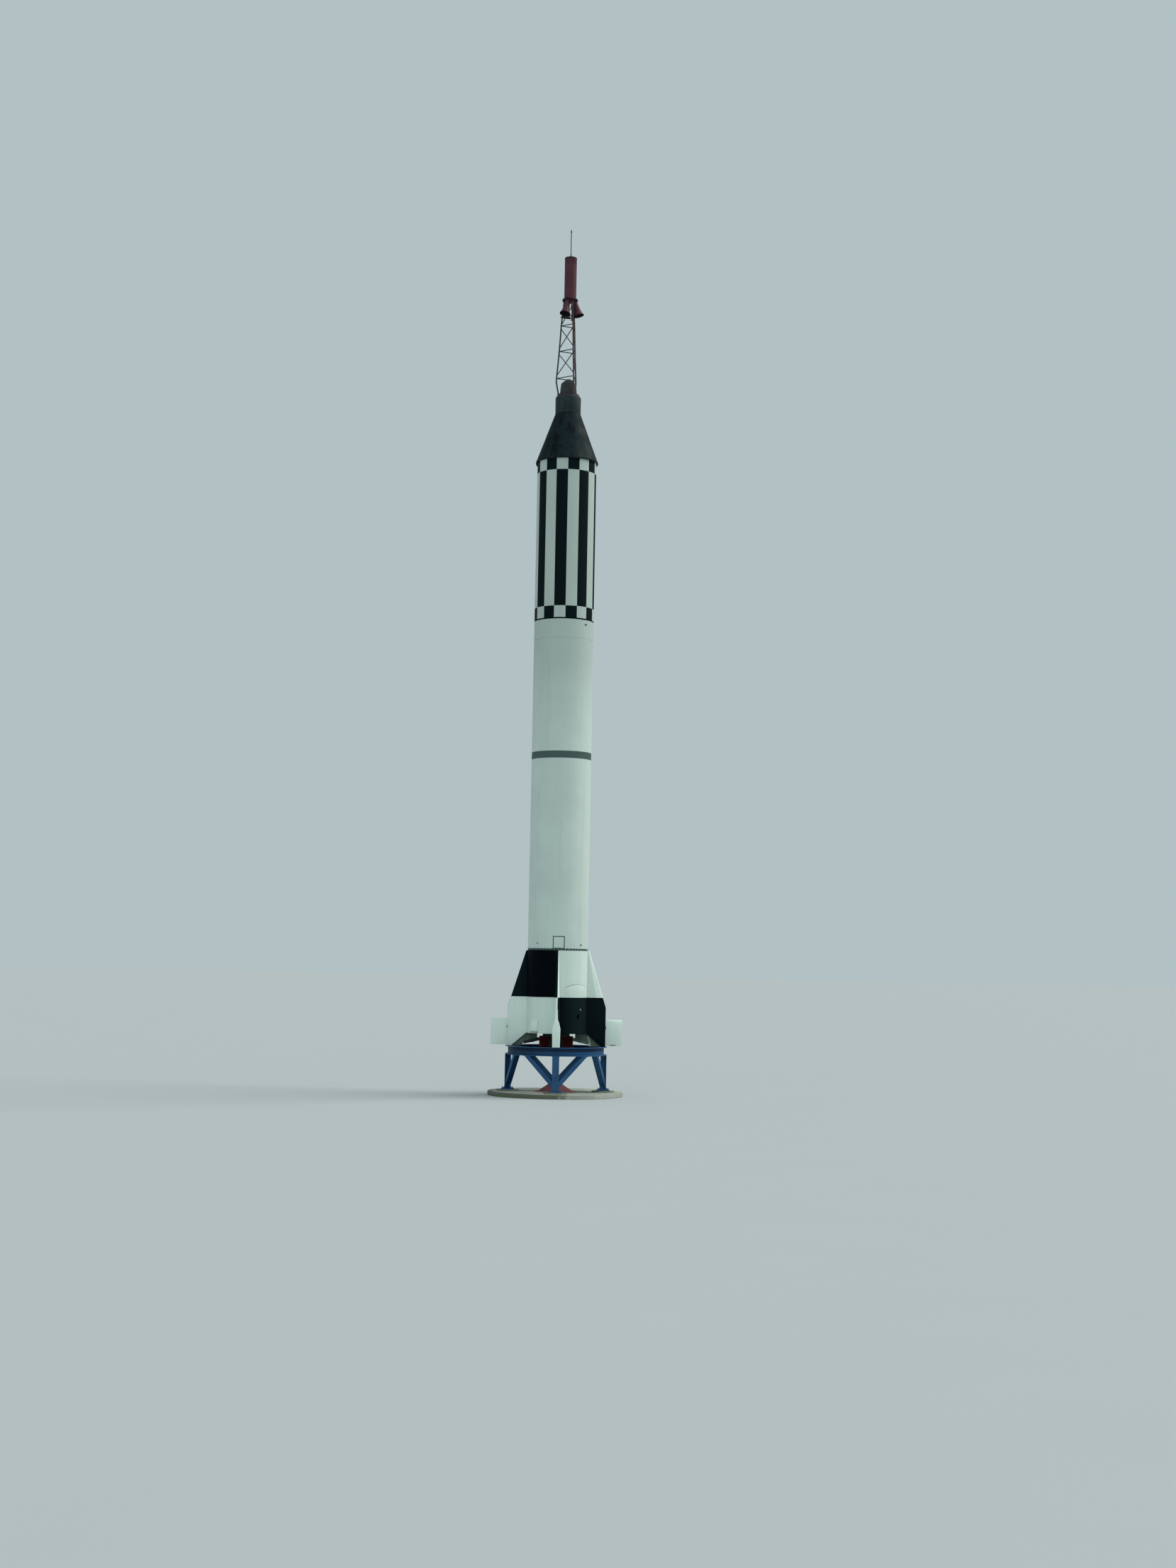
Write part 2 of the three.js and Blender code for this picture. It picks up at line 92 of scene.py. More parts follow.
def spinProfile(points, steps, start=0.0, sweep=360.0):  # points are (radius, height)
    bm = bmesh.new()
    verts = [bm.verts.new(polar(start, radius, height)) for radius, height in points]
    edges = [bm.edges.new(pair) for pair in zip(verts, verts[1:])]
    bmesh.ops.spin(bm, geom=verts + edges, cent=(0, 0, 0), axis=up, dvec=(0, 0, 0),
                   angle=math.radians(sweep), steps=steps, use_merge=abs(sweep) >= 360)
    bmesh.ops.remove_doubles(bm, verts=bm.verts, dist=1e-5)
    bmesh.ops.recalc_face_normals(bm, faces=bm.faces)
    return bm


def closedSpin(points, steps, start=0.0, sweep=360.0):  # a profile that closes on itself
    bm = spinProfile(list(points) + [points[0]], steps, start, sweep)
    return capped(bm) if abs(sweep) < 360 else bm


def roundedRim(radius, top, edge):  # profile points round an outer top edge
    return [(radius, top - edge), (radius - edge * 0.3, top - edge * 0.3), (radius - edge, top)]


def capped(bm):
    bmesh.ops.holes_fill(bm, edges=[edge for edge in bm.edges if edge.is_boundary])
    bmesh.ops.recalc_face_normals(bm, faces=bm.faces)
    return bm


def boxMesh(size, matrix, edge=0.0, segments=2):
    bm = bmesh.new()
    bmesh.ops.create_cube(bm, size=1, matrix=Matrix.Diagonal((*size, 1)))
    return moved(softened(bm, edge, segments), matrix)


def rodMesh(start, end, radius, sides=16, edge=0.0):
    along = Vector(end) - Vector(start)
    bm = bmesh.new()
    bmesh.ops.create_cone(bm, cap_ends=True, segments=sides, radius1=radius, radius2=radius,
                          depth=along.length)
    turn = along.to_track_quat("Z", "Y").to_matrix().to_4x4()
    return moved(softened(bm, edge, 2, 50), Matrix.Translation((Vector(start) + Vector(end)) / 2) @ turn)


def ballMesh(centre, radius, sides=12):
    bm = bmesh.new()
    bmesh.ops.create_uvsphere(bm, u_segments=sides, v_segments=sides // 2, radius=radius)
    return moved(bm, Matrix.Translation(centre))


def plateMesh(outline, thickness, edge=0.0, segments=2):  # outline in local x and y
    bm = bmesh.new()
    face = bm.faces.new([bm.verts.new((x, y, -thickness / 2)) for x, y in outline])
    grown = bmesh.ops.extrude_face_region(bm, geom=[face])
    risen = [item for item in grown["geom"] if isinstance(item, bmesh.types.BMVert)]
    bmesh.ops.translate(bm, verts=risen, vec=(0, 0, thickness))
    bmesh.ops.recalc_face_normals(bm, faces=bm.faces)
    return softened(bm, edge, segments)


def patchMesh(azimuth, height, width, tall, radius=bodyRadius, thick=0.002, sunk=0.004):
    sweep = math.degrees(width / radius)  # a thin plate that follows the body
    bottom, top = height - tall / 2, height + tall / 2
    return closedSpin([
        (radius - sunk, bottom), (radius + thick, bottom), (radius + thick, top), (radius - sunk, top),
    ], max(int(sweep), 2), azimuth - sweep / 2, sweep)


def bevelled(bm, edges, offset, segments):
    bmesh.ops.bevel(bm, geom=edges, offset=offset, offset_type="OFFSET", affect="EDGES",
                    segments=segments, profile=0.5, material=-1, clamp_overlap=True)
    return bm


def softened(bm, edge, segments=2, angle=25):
    if edge > 0:
        sharp = [item for item in bm.edges if item.calc_face_angle(0) > math.radians(angle)]
        bevelled(bm, sharp, edge, segments)
    return bm


def moved(bm, matrix):
    bm.transform(matrix)
    return bm


def painted(bm, rule):  # rule is a finish's place in the piece's list, or finds it from a face's middle
    for face in bm.faces:
        face.material_index = rule(face.calc_center_median()) if callable(rule) else rule
    return bm


def splitAt(bm, point, normal, clear=False):
    bmesh.ops.bisect_plane(bm, geom=bm.verts[:] + bm.edges[:] + bm.faces[:], dist=1e-6,
                           plane_co=point, plane_no=normal, clear_outer=clear)
    return bm


def keptBelow(bm, height):
    return capped(splitAt(bm, (0, 0, height), up, clear=True))


def joined(*sources):
    whole = bmesh.new()
    for source in sources:
        step = bpy.data.meshes.new("step")
        source.to_mesh(step)
        source.free()
        whole.from_mesh(step)
        bpy.data.meshes.remove(step)
    return whole


def boltRing(count, radius, height, size, start=0.0, outward=False):  # hexagon heads
    heads = []
    for index in range(count):
        azimuth = start + 360 / count * index
        at = polar(azimuth, radius, height)
        aim = polar(azimuth, size * 0.7, 0) if outward else up * (size * 0.7)
        heads.append(rodMesh(at - aim * 0.5, at + aim, size, 6, edge=size * 0.12))
    return joined(*heads)


def rivetRow(start, end, pitch, size):  # low domes along a line
    start, end = Vector(start), Vector(end)
    count = max(int((end - start).length / pitch), 1)
    return joined(*[ballMesh(start.lerp(end, index / count), size, 8) for index in range(count + 1)])


def makePiece(name, bm, finishNames, node=None, body="rocket", smooth=32):
    mesh = bpy.data.meshes.new(name)
    bm.to_mesh(mesh)
    bm.free()
    for finish in finishNames:
        mesh.materials.append(finishes[finish])
    mesh.polygons.foreach_set("use_smooth", [True] * len(mesh.polygons))
    mesh.set_sharp_from_angle(angle=math.radians(smooth))
    piece = bpy.data.objects.new(name, mesh)
    bpy.context.scene.collection.objects.link(piece)
    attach(piece, body)
    if node:
        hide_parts(node)


# Shader maths: a Flow is one socket, and sums on it add Math nodes

class Flow:
    def __init__(self, tree, socket=None):
        self.tree = tree
        self.socket = socket

    def node(self, kind, settings=None, values=None, out=0):
        made = self.tree.nodes.new(kind)
        for name, value in (settings or {}).items():
            setattr(made, name, value)
        for name, value in (values or {}).items():
            if isinstance(value, Flow):
                self.tree.links.new(value.socket, made.inputs[name])
            else:
                made.inputs[name].default_value = value
        return Flow(self.tree, made.outputs[out])

    def maths(self, operation, *values):
        return self.node("ShaderNodeMath", {"operation": operation}, dict(enumerate(values)))

    def __add__(self, other):
        return self.maths("ADD", self, other)

    def __radd__(self, other):
        return self.maths("ADD", other, self)

    def __sub__(self, other):
        return self.maths("SUBTRACT", self, other)

    def __rsub__(self, other):
        return self.maths("SUBTRACT", other, self)

    def __mul__(self, other):
        return self.maths("MULTIPLY", self, other)

    def __rmul__(self, other):
        return self.maths("MULTIPLY", other, self)

    def stretched(self, factors):
        return self.node("ShaderNodeVectorMath", {"operation": "MULTIPLY"}, {0: self, 1: factors})

    def length(self):
        return self.node("ShaderNodeVectorMath", {"operation": "LENGTH"}, {0: self}, out=1)

    def part(self, axis):
        return self.node("ShaderNodeSeparateXYZ", {}, {0: self}, out="XYZ".index(axis))

    def noise(self, scale, detail=3.0, rough=0.55):
        return self.node("ShaderNodeTexNoise", {"noise_dimensions": "3D"},
                         {"Vector": self, "Scale": scale, "Detail": detail, "Roughness": rough})

    def cells(self, scale):
        return self.node("ShaderNodeTexVoronoi", {"feature": "F1"}, {"Vector": self, "Scale": scale})

    def ramp(self, low, high):  # 0 below low, 1 above high
        return self.node("ShaderNodeMapRange", {"interpolation_type": "SMOOTHSTEP"},
                         {"Value": self, "From Min": low, "From Max": high})

    def mix(self, first, second):  # self is the share of the second colour
        colours = {6: asColour(first), 7: asColour(second)}
        return self.node("ShaderNodeMix", {"data_type": "RGBA"}, {0: self, **colours}, out=2)

    def bump(self, distance=1.0):
        return self.node("ShaderNodeBump", {}, {"Distance": distance, "Height": self})


def asColour(value):  # a Flow, or red, green and blue
    return value if isinstance(value, Flow) else (*value, 1.0)


def newMaterial(name, constants):
    material = bpy.data.materials.new(name)
    material.use_nodes = True
    tree = material.node_tree
    tree.nodes.clear()
    shader = tree.nodes.new("ShaderNodeBsdfPrincipled")
    output = tree.nodes.new("ShaderNodeOutputMaterial")
    tree.links.new(shader.outputs[0], output.inputs["Surface"])
    for socket, value in constants.items():
        shader.inputs[socket].default_value = value
    place = Flow(tree).node("ShaderNodeTexCoord", out="Object")

    def feed(socket, flow):
        tree.links.new(flow.socket, shader.inputs[socket])

    return material, place, feed


def weatheredPaint(name, look):
    material, place, feed = newMaterial(name, {"Metallic": 0.0, "Specular IOR Level": look["specular"]})
    patches = place.noise(look["patchScale"], 4, 0.6).ramp(*look["patchRange"])
    streaks = place.stretched(look["streakStretch"]).noise(1.0, 5, 0.6).ramp(*look["streakRange"])
    grain = place.noise(look["grainScale"], 2, 0.5)
    specks = place.noise(look["speckScale"], 3, 0.6).ramp(*look["speckRange"])
    faded = (patches * look["patches"]).mix(look["colour"], look["faded"])
    dirtAndPaintedLight = (streaks * look["streaks"]).mix(faded, look["dirt"])
    if "rightTone" in look:  # another colour on the side that faces right; on the paints so marked below it is painted light there, with painted shade on the left
        share = place.part("X").ramp(*look["rightRange"])
        dirtAndPaintedLight = (share * (1 - (1 - patches) * look["rightPatchy"])).mix(dirtAndPaintedLight, look["rightTone"])
    if "shadeTone" in look:  # painted shade between two heights
        lowFrom, lowTo, highFrom, highTo = look["levels"]
        share = place.part("Z").ramp(lowFrom, lowTo) * (1 - place.part("Z").ramp(highFrom, highTo))
        dirtAndPaintedLight = (share * look["shadeShare"]).mix(dirtAndPaintedLight, look["shadeTone"])
    feed("Base Color", (specks * look["specks"]).mix(dirtAndPaintedLight, look["bare"]))
    feed("Roughness", look["roughness"] + patches * 0.1 + grain * 0.12)
    waves = place.noise(look["waveScale"], 2, 0.4)
    feed("Normal", (waves * look["waves"] + grain * look["grain"]).bump())
    return material


print("materials")

whiteLook = {
    "colour": (0.60, 0.70, 0.64), "faded": (0.54, 0.63, 0.58), "dirt": (0.40, 0.46, 0.42),
    "bare": (0.22, 0.25, 0.24), "specular": 0.4, "roughness": 0.42, "rightPatchy": 0.0,
    "patchScale": 0.55, "patches": 0.8, "patchRange": (0.36, 0.66),
    "streakStretch": (7, 7, 0.22), "streaks": 0.22, "streakRange": (0.5, 0.74),
    "grainScale": 70, "grain": 0.0006, "waveScale": 1.6, "waves": 0.010,
    "speckScale": 26, "specks": 0.5, "speckRange": (0.74, 0.79),
}
blackLook = dict(
    whiteLook, colour=(0.0035, 0.0065, 0.0080), faded=(0.0065, 0.010, 0.012), dirt=(0.013, 0.018, 0.019),
    bare=(0.03, 0.036, 0.036), specular=0.12, roughness=0.5, streaks=0.2, specks=0.3,
)
maroonLook = dict(
    whiteLook, colour=(0.082, 0.021, 0.032), faded=(0.10, 0.033, 0.044), dirt=(0.03, 0.014, 0.018),
    bare=(0.04, 0.035, 0.035), specular=0.22, roughness=0.5, patchScale=3.0,
    streakStretch=(14, 14, 1.2), streaks=0.5, waves=0.003, specks=0.6,
)
steelLook = dict(
    whiteLook, colour=(0.096, 0.142, 0.116), faded=(0.136, 0.190, 0.150), dirt=(0.058, 0.074, 0.063),
    bare=(0.07, 0.06, 0.05), specular=0.3, roughness=0.55, patchScale=4.0,
    streakStretch=(9, 9, 2), streaks=0.7, waves=0.003, specks=0.7,
)
blueLook = dict(
    whiteLook, colour=(0.010, 0.072, 0.185), faded=(0.028, 0.110, 0.240), dirt=(0.010, 0.030, 0.065),
    bare=(0.07, 0.045, 0.035), specular=0.3, roughness=0.45, patchScale=2.4,
    streakStretch=(10, 10, 1.0), streaks=0.5, waves=0.002, specks=0.6,
)
paintLooks = {
    # whites, the first of them darker on the upper body as painted shade
    "whitePaint": dict(
        whiteLook, shadeTone=(0.28, 0.33, 0.305), levels=(10.4, 13.4, 90, 91), shadeShare=0.44,
    ),
    "shellWhite": dict(
        whiteLook, colour=(0.68, 0.79, 0.72), faded=(0.62, 0.72, 0.66), dirt=(0.46, 0.53, 0.48),
    ),
    "lowWhite": dict(
        whiteLook, colour=(0.76, 0.88, 0.80), faded=(0.70, 0.81, 0.74), dirt=(0.55, 0.62, 0.57),
    ),
    # a painted highlight along the fins' leading edges
    "highlightWhite": dict(
        whiteLook, colour=(0.85, 0.95, 0.88), faded=(0.80, 0.91, 0.83), dirt=(0.62, 0.70, 0.65),
    ),
    "seamGrey": dict(whiteLook, colour=(0.48, 0.56, 0.515), faded=(0.42, 0.49, 0.455)),
    "blockPaint": dict(whiteLook, colour=(0.17, 0.21, 0.20), faded=(0.25, 0.30, 0.28)),
    "edgePaint": dict(whiteLook, colour=(0.24, 0.28, 0.26), faded=(0.20, 0.235, 0.22)),
    # blacks and greys
    "blackPaint": dict(
        blackLook, colour=(0.0017, 0.0070, 0.0095), faded=(0.0030, 0.0085, 0.0105),
        dirt=(0.006, 0.011, 0.0125), specular=0.05,
    ),
    # the tail's black, with rightTone as a painted sheen on the side that faces the light
    "tailBlack": dict(
        blackLook, colour=(0.0003, 0.0015, 0.0040), faded=(0.0008, 0.0024, 0.0048),
        dirt=(0.0035, 0.0055, 0.0075), bare=(0.02, 0.026, 0.028), specular=0.03,
        rightTone=(0.0055, 0.0130, 0.0145), rightRange=(-0.3, 0.6),
    ),
    "slotPaint": dict(
        blackLook, colour=(0.0002, 0.0004, 0.0010), faded=(0.0002, 0.0004, 0.0010),
        dirt=(0.0004, 0.0006, 0.0012), bare=(0.001, 0.0014, 0.002), specular=0.0,
    ),
    "bandPaint": dict(
        blackLook, colour=(0.066, 0.106, 0.100), faded=(0.080, 0.122, 0.115), dirt=(0.05, 0.08, 0.076),
    ),
    "seamPaint": dict(blackLook, colour=(0.030, 0.042, 0.042)),
    "jointPaint": dict(
        blackLook, colour=(0.050, 0.078, 0.076), faded=(0.040, 0.062, 0.060), dirt=(0.03, 0.045, 0.044),
    ),
    # reds, the shroud's rim and what the exhaust has scorched
    "maroonPaint": maroonLook,
    "dustyMaroon": dict(
        maroonLook, colour=(0.036, 0.026, 0.033), faded=(0.046, 0.035, 0.041),
        dirt=(0.024, 0.018, 0.022), specular=0.12,
    ),
    "collarPaint": dict(
        maroonLook, colour=(0.025, 0.0055, 0.009), faded=(0.036, 0.010, 0.014), specular=0.15,
    ),
    # the shroud's own dark red, darkened further as painted shade under the tail
    "redPaint": dict(
        maroonLook, colour=(0.031, 0.0008, 0.0015), faded=(0.045, 0.002, 0.003),
        dirt=(0.014, 0.003, 0.0035), bare=(0.03, 0.022, 0.02), specular=0.05, roughness=0.45,
        patchScale=2.0, streaks=0.4,
    ),
    # the deflector's faded red, darker on the left as painted shade and lighter on the right as painted
    # light
    "fadedRedPaint": dict(
        maroonLook, colour=(0.165, 0.054, 0.060), faded=(0.215, 0.088, 0.090),
        dirt=(0.08, 0.043, 0.040), bare=(0.15, 0.12, 0.10), roughness=0.7, patchScale=3.5,
        rightTone=(0.25, 0.088, 0.095), rightRange=(-0.3, 0.25), rightPatchy=0.3,
    ),
    "rimGrey": dict(
        maroonLook, colour=(0.10, 0.12, 0.12), faded=(0.15, 0.17, 0.165), dirt=(0.06, 0.05, 0.05),
    ),
    "scorchedPaint": dict(
        maroonLook, colour=(0.0075, 0.008, 0.008), faded=(0.014, 0.012, 0.012), specular=0.15,
        roughness=0.7,
    ),
    # blues, the ring's web with a painted shadow under its top flange
    "bluePaint": blueLook,
    # the ring's web: a darker base as painted shade on the left, rightTone as painted light on the right,
    # shadeTone as a painted shadow under the top flange
    "ringPaint": dict(
        blueLook, colour=(0.0045, 0.032, 0.083), faded=(0.011, 0.048, 0.108),
        dirt=(0.005, 0.018, 0.040), specular=0.2,
        rightTone=(0.015, 0.082, 0.200), rightRange=(-1.2, 0.6), shadeTone=(0.002, 0.012, 0.038),
        levels=(ringTop - 0.14, ringTop - 0.11, ringTop, ringTop + 0.01), shadeShare=0.8,
    ),
    # the legs' webs: a darker base as painted shade in the recess and on the left, rightTone as painted
    # light on the right
    "webPaint": dict(
        blueLook, colour=(0.006, 0.050, 0.135), faded=(0.012, 0.066, 0.165),
        dirt=(0.006, 0.022, 0.052), bare=(0.05, 0.036, 0.03), specular=0.12,
        rightTone=(0.036, 0.125, 0.245), rightRange=(-1.0, 1.0),
    ),
    # bare and painted steel
    "steelPaint": steelLook,
    "darkSteel": dict(
        steelLook, colour=(0.020, 0.027, 0.027), faded=(0.034, 0.041, 0.040), dirt=(0.03, 0.025, 0.022),
        bare=(0.05, 0.04, 0.035),
    ),
    # the shroud's panels: dark steel darkened as painted shade under the tail
    "panelPaint": dict(
        steelLook, colour=(0.008, 0.011, 0.011), faded=(0.014, 0.017, 0.0165),
        dirt=(0.010, 0.011, 0.011), bare=(0.03, 0.026, 0.024), specular=0.12,
    ),
    # the fin brackets' arms: dark as painted shade on the left, rightTone as painted light on the right
    "armPaint": dict(
        steelLook, colour=(0.019, 0.028, 0.028), faded=(0.030, 0.041, 0.040),
        dirt=(0.016, 0.021, 0.021), specular=0.2,
        rightTone=(0.12, 0.18, 0.155), rightRange=(-0.1, 0.3),
    ),
    # the fin brackets' strips, with rightTone as painted light on the right
    "stripPaint": dict(
        steelLook, colour=(0.10, 0.14, 0.12), faded=(0.13, 0.17, 0.15), dirt=(0.08, 0.10, 0.085),
        streaks=0.4, rightTone=(0.43, 0.50, 0.42), rightRange=(-0.3, 0.3), rightPatchy=0.3,
    ),
    "towerPaint": dict(
        whiteLook, colour=(0.026, 0.040, 0.039), faded=(0.045, 0.056, 0.053),
        dirt=(0.055, 0.026, 0.024), bare=(0.09, 0.045, 0.035), specular=0.25, roughness=0.55,
        patchScale=4.0, streakStretch=(6, 6, 2.0), streaks=0.4, waves=0.001, specks=0.6,
        rightTone=(0.095, 0.026, 0.028), rightRange=(-0.05, 0.12), rightPatchy=1.0,
    ),
}
finishes = {name: weatheredPaint(name, look) for name, look in paintLooks.items()}


def shinglePaint(name, look):
    material, place, feed = newMaterial(name, {"Metallic": 0.0, "Specular IOR Level": look["specular"]})
    blotches = place.stretched((1, 1, 0.55)).noise(3.4, 5, 0.62).ramp(0.42, 0.62)
    runs = place.stretched((16, 16, 1.5)).noise(1.0, 5, 0.6).ramp(0.48, 0.72)
    grain = place.noise(60, 3, 0.6)
    dusted = (blotches * look["blotches"]).mix(look["colour"], look["dust"])
    streaked = (runs * look["runs"]).mix(dusted, look["run"])
    facing = place.part("X").ramp(look["rightFrom"], look["rightFrom"] + 0.25) * look["rightShare"]
    mottled = facing * place.noise(2.5, 4, 0.6).ramp(0.3, 0.6)  # where the side that faces right differs: on the cone and the neck a painted highlight
    feed("Base Color", mottled.mix(streaked, look["rightTone"]))
    feed("Roughness", 0.5 + blotches * 0.2 + grain * 0.1)
    feed("Normal", (grain * 0.0008 + blotches * 0.001).bump())
    return material


# on the cone and the neck, rightTone is a painted highlight on the side that faces the light
shingleLook = {
    "colour": (0.0009, 0.0038, 0.0058), "dust": (0.0110, 0.0235, 0.0280), "run": (0.014, 0.028, 0.028),
    "rightTone": (0.024, 0.034, 0.030), "rightFrom": 0.15, "rightShare": 0.6, "blotches": 0.9,
    "runs": 0.25, "specular": 0.08,
}
shingleLooks = {
    "conePaint": shingleLook,
    "neckPaint": dict(
        shingleLook, colour=(0.0110, 0.0220, 0.0250), dust=(0.026, 0.041, 0.043),
        run=(0.032, 0.043, 0.040), rightTone=(0.037, 0.043, 0.039), specular=0.15,
    ),
    "fairingPaint": dict(
        shingleLook, colour=(0.022, 0.029, 0.030), dust=(0.040, 0.047, 0.047),
        run=(0.040, 0.048, 0.042), rightTone=(0.024, 0.014, 0.016), rightFrom=-0.10, specular=0.2,
    ),
}
finishes |= {name: shinglePaint(name, look) for name, look in shingleLooks.items()}


def castConcrete(name, look):
    material, place, feed = newMaterial(name, {"Metallic": 0.0, "IOR": 1.45})
    stains = place.noise(1.3, 6, 0.65).ramp(0.38, 0.68)
    grit = place.noise(45, 4, 0.65)
    stained = (stains * look["stains"]).mix(look["colour"], look["stain"])
    if "mossAndShade" in look:  # moss and painted shade on the rim, from the left round to just past the front, the side turned from the light
        reach = place.stretched((1, 1, 0)).length()
        facing = (place.part("X") * -0.85 - place.part("Y") * 0.53).ramp(0.30, 1.25)
        patchy = place.noise(3, 6, 0.7) * 1.5 - 0.3
        mossAndShadeMask = (patchy + reach.ramp(*look["mossAndShadeRange"]) * facing).ramp(0.75, 1.25)
        stained = mossAndShadeMask.mix(stained, look["mossAndShade"])
    feed("Base Color", (grit.ramp(0.5, 0.72) * 0.4).mix(stained, look["grit"]))
    feed("Roughness", 0.8 + grit * 0.15)
    feed("Normal", (grit * 0.003 + place.cells(85) * 0.0015 + stains * 0.003).bump())
    return material


concreteLooks = {
    "concrete": {
        "colour": (0.40, 0.41, 0.36), "stain": (0.25, 0.265, 0.225), "grit": (0.21, 0.21, 0.18),
        "stains": 0.8, "mossAndShade": (0.105, 0.120, 0.078), "mossAndShadeRange": (1.78, 1.97),
    },
    "mossyConcrete": {
        "colour": (0.21, 0.24, 0.17), "stain": (0.095, 0.115, 0.078), "grit": (0.14, 0.15, 0.11),
        "stains": 0.9,
    },
}
finishes |= {name: castConcrete(name, look) for name, look in concreteLooks.items()}

# Camera, where the photograph was taken from: on the ground, well back, tilted up a little

print("camera and stage")

cameraLook = {
    "distance": 64.7, "eyeHeight": 3.65, "tiltUp": 4.83, "turnRight": 0.715, "roll": 1.03, "lens": 49.92,
}


def addCamera(look):
    data = bpy.data.cameras.new("camera")
    data.sensor_width = 36
    data.lens = look["lens"]
    data.clip_start = 0.5
    data.clip_end = 2000
    camera = bpy.data.objects.new("camera", data)
    bpy.context.scene.collection.objects.link(camera)
    tilt, turn = math.radians(look["tiltUp"]), math.radians(look["turnRight"])
    forward = Vector((math.sin(turn) * math.cos(tilt), math.cos(turn) * math.cos(tilt), math.sin(tilt)))
    aim = forward.to_track_quat("-Z", "Y").to_matrix().to_4x4()
    spot = Matrix.Translation((0, -look["distance"], above(look["eyeHeight"])))
    camera.matrix_world = spot @ aim @ Matrix.Rotation(math.radians(look["roll"]), 4, "Z")
    bpy.context.scene.camera = camera


stageLook = {
    "floorRadius": 900, "floorColour": (0.47, 0.50, 0.50), "floorStain": (0.42, 0.45, 0.45),
    "sky": (0.62, 0.74, 0.77), "skyStrength": 0.72,
}
lamps = {  # azimuth and height say where the light comes from, and size how soft it is, in degrees
    "key": {"azimuth": 102, "height": 46, "strength": 2.0, "size": 40, "colour": (1.0, 0.98, 0.94)},
    "fill": {"azimuth": -10, "height": 25, "strength": 0.35, "size": 60, "colour": (0.9, 0.97, 1.0)},
}


def addStage(look):
    bm = bmesh.new()
    bmesh.ops.create_circle(bm, cap_ends=True, segments=64, radius=look["floorRadius"])
    mesh = bpy.data.meshes.new("floor")
    bm.to_mesh(mesh)
    bm.free()
    floor = bpy.data.objects.new("floor", mesh)
    bpy.context.scene.collection.objects.link(floor)
    material, place, feed = newMaterial("floorFinish", {"Roughness": 0.9})
    feed("Base Color", (place.noise(0.4, 3) * 0.25).mix(look["floorColour"], look["floorStain"]))
    mesh.materials.append(material)
    world = bpy.data.worlds.new("world")
    world.use_nodes = True
    background = world.node_tree.nodes["Background"]
    background.inputs["Color"].default_value = asColour(look["sky"])
    background.inputs["Strength"].default_value = look["skyStrength"]
    bpy.context.scene.world = world
    bpy.context.scene.view_settings.view_transform = "Standard"


def addLamp(name, lamp):
    data = bpy.data.lights.new(name, "SUN")
    data.energy = lamp["strength"]
    data.angle = math.radians(lamp["size"])
    data.color = lamp["colour"]
    light = bpy.data.objects.new(name, data)
    bpy.context.scene.collection.objects.link(light)
    height = math.radians(lamp["height"])
    towards = -polar(lamp["azimuth"], math.cos(height), math.sin(height))
    light.rotation_euler = towards.to_track_quat("-Z", "Y").to_euler()


addCamera(cameraLook)
addStage(stageLook)
for name, lamp in lamps.items():
    addLamp(name, lamp)

# Slab, foot pads and deflector

print("slab")

slabLook = {  # each wave of the rim: how many go round, its share and its phase
    "steps": 160, "edge": 0.02, "footEdge": 0.01, "topRings": (0.8, 0.5), "rim": 0.97, "ripple": 0.003,
    "waves": ((23, 0.4, 0.0), (41, 0.6, 1.3)),
}
padLook = {
    "steps": 72, "radius": 0.345, "height": 0.04, "edge": 0.012, "sunk": 0.02, "ripple": 0.016,
    "waves": ((7, 1.0), (17, 0.6)),
}
stripLook = {"from": 0.60, "to": 1.08, "width": 0.05, "height": 0.014, "sunk": 0.01, "edge": 0.003}
deflectorLook = {
    "steps": 128, "lip": 0.006, "bolts": 16, "boltRadius": 0.565, "boltHeight": 0.013, "boltSize": 0.012,
    "boltStart": 11.25,
}
padTop = deckTop + padLook["height"]


def waveSum(angle, waves):
    return sum(math.sin(angle * count + phase) * share for count, share, phase in waves)


def addSlab(look):
    low, _, radius = roundBox("concrete_slab")
    bm = spinProfile([
        (0, low), (radius - look["footEdge"], low), (radius, low + look["footEdge"]),
        *roundedRim(radius, deckTop, look["edge"]),
        *((radius * share, deckTop) for share in look["topRings"]), (0, deckTop),
    ], look["steps"])
    most = sum(share for _, share, _ in look["waves"])
    for vert in bm.verts:  # the cast edge is slightly uneven
        reach = vert.co.xy.length
        if reach > radius * look["rim"]:
            angle = math.atan2(vert.co.y, vert.co.x)
            vert.co.xy *= 1 + look["ripple"] * (waveSum(angle, look["waves"]) - most) / reach
    makePiece("slab", bm, ["concrete"], "concrete_slab", smooth=40)


def addFootPad(name, azimuth, look):
    radius, bottom = look["radius"], deckTop - look["sunk"]
    bm = spinProfile([(0, bottom), (radius, bottom), *roundedRim(radius, padTop, look["edge"]), (0, padTop)],
                     look["steps"])
    waves = [(count, share, azimuth * turn) for turn, (count, share) in enumerate(look["waves"], 1)]
    most = sum(share for _, share, _ in waves)
    for vert in bm.verts:  # a pad's edge is more ragged than the slab's
        angle = math.atan2(vert.co.y, vert.co.x) + math.radians(azimuth)
        vert.co.xy *= 1 - look["ripple"] * (waveSum(angle, waves) + most)
    moved(bm, Matrix.Translation(polar(azimuth, standRadius, 0)))
    makePiece(f"footPad_{name}", bm, ["mossyConcrete"], "concrete_slab")


def addStrips(look):  # a low strip runs out from the deflector to each side pad
    length = look["to"] - look["from"]
    size = (length, look["width"], look["height"] + look["sunk"])
    reach, middle = look["from"] + length / 2, deckTop + (look["height"] - look["sunk"]) / 2
    strips = [boxMesh(size, uprightFrame(azimuth, reach, middle), look["edge"]) for azimuth in (90, -90)]
    makePiece("groundStrips", joined(*strips), ["mossyConcrete"])


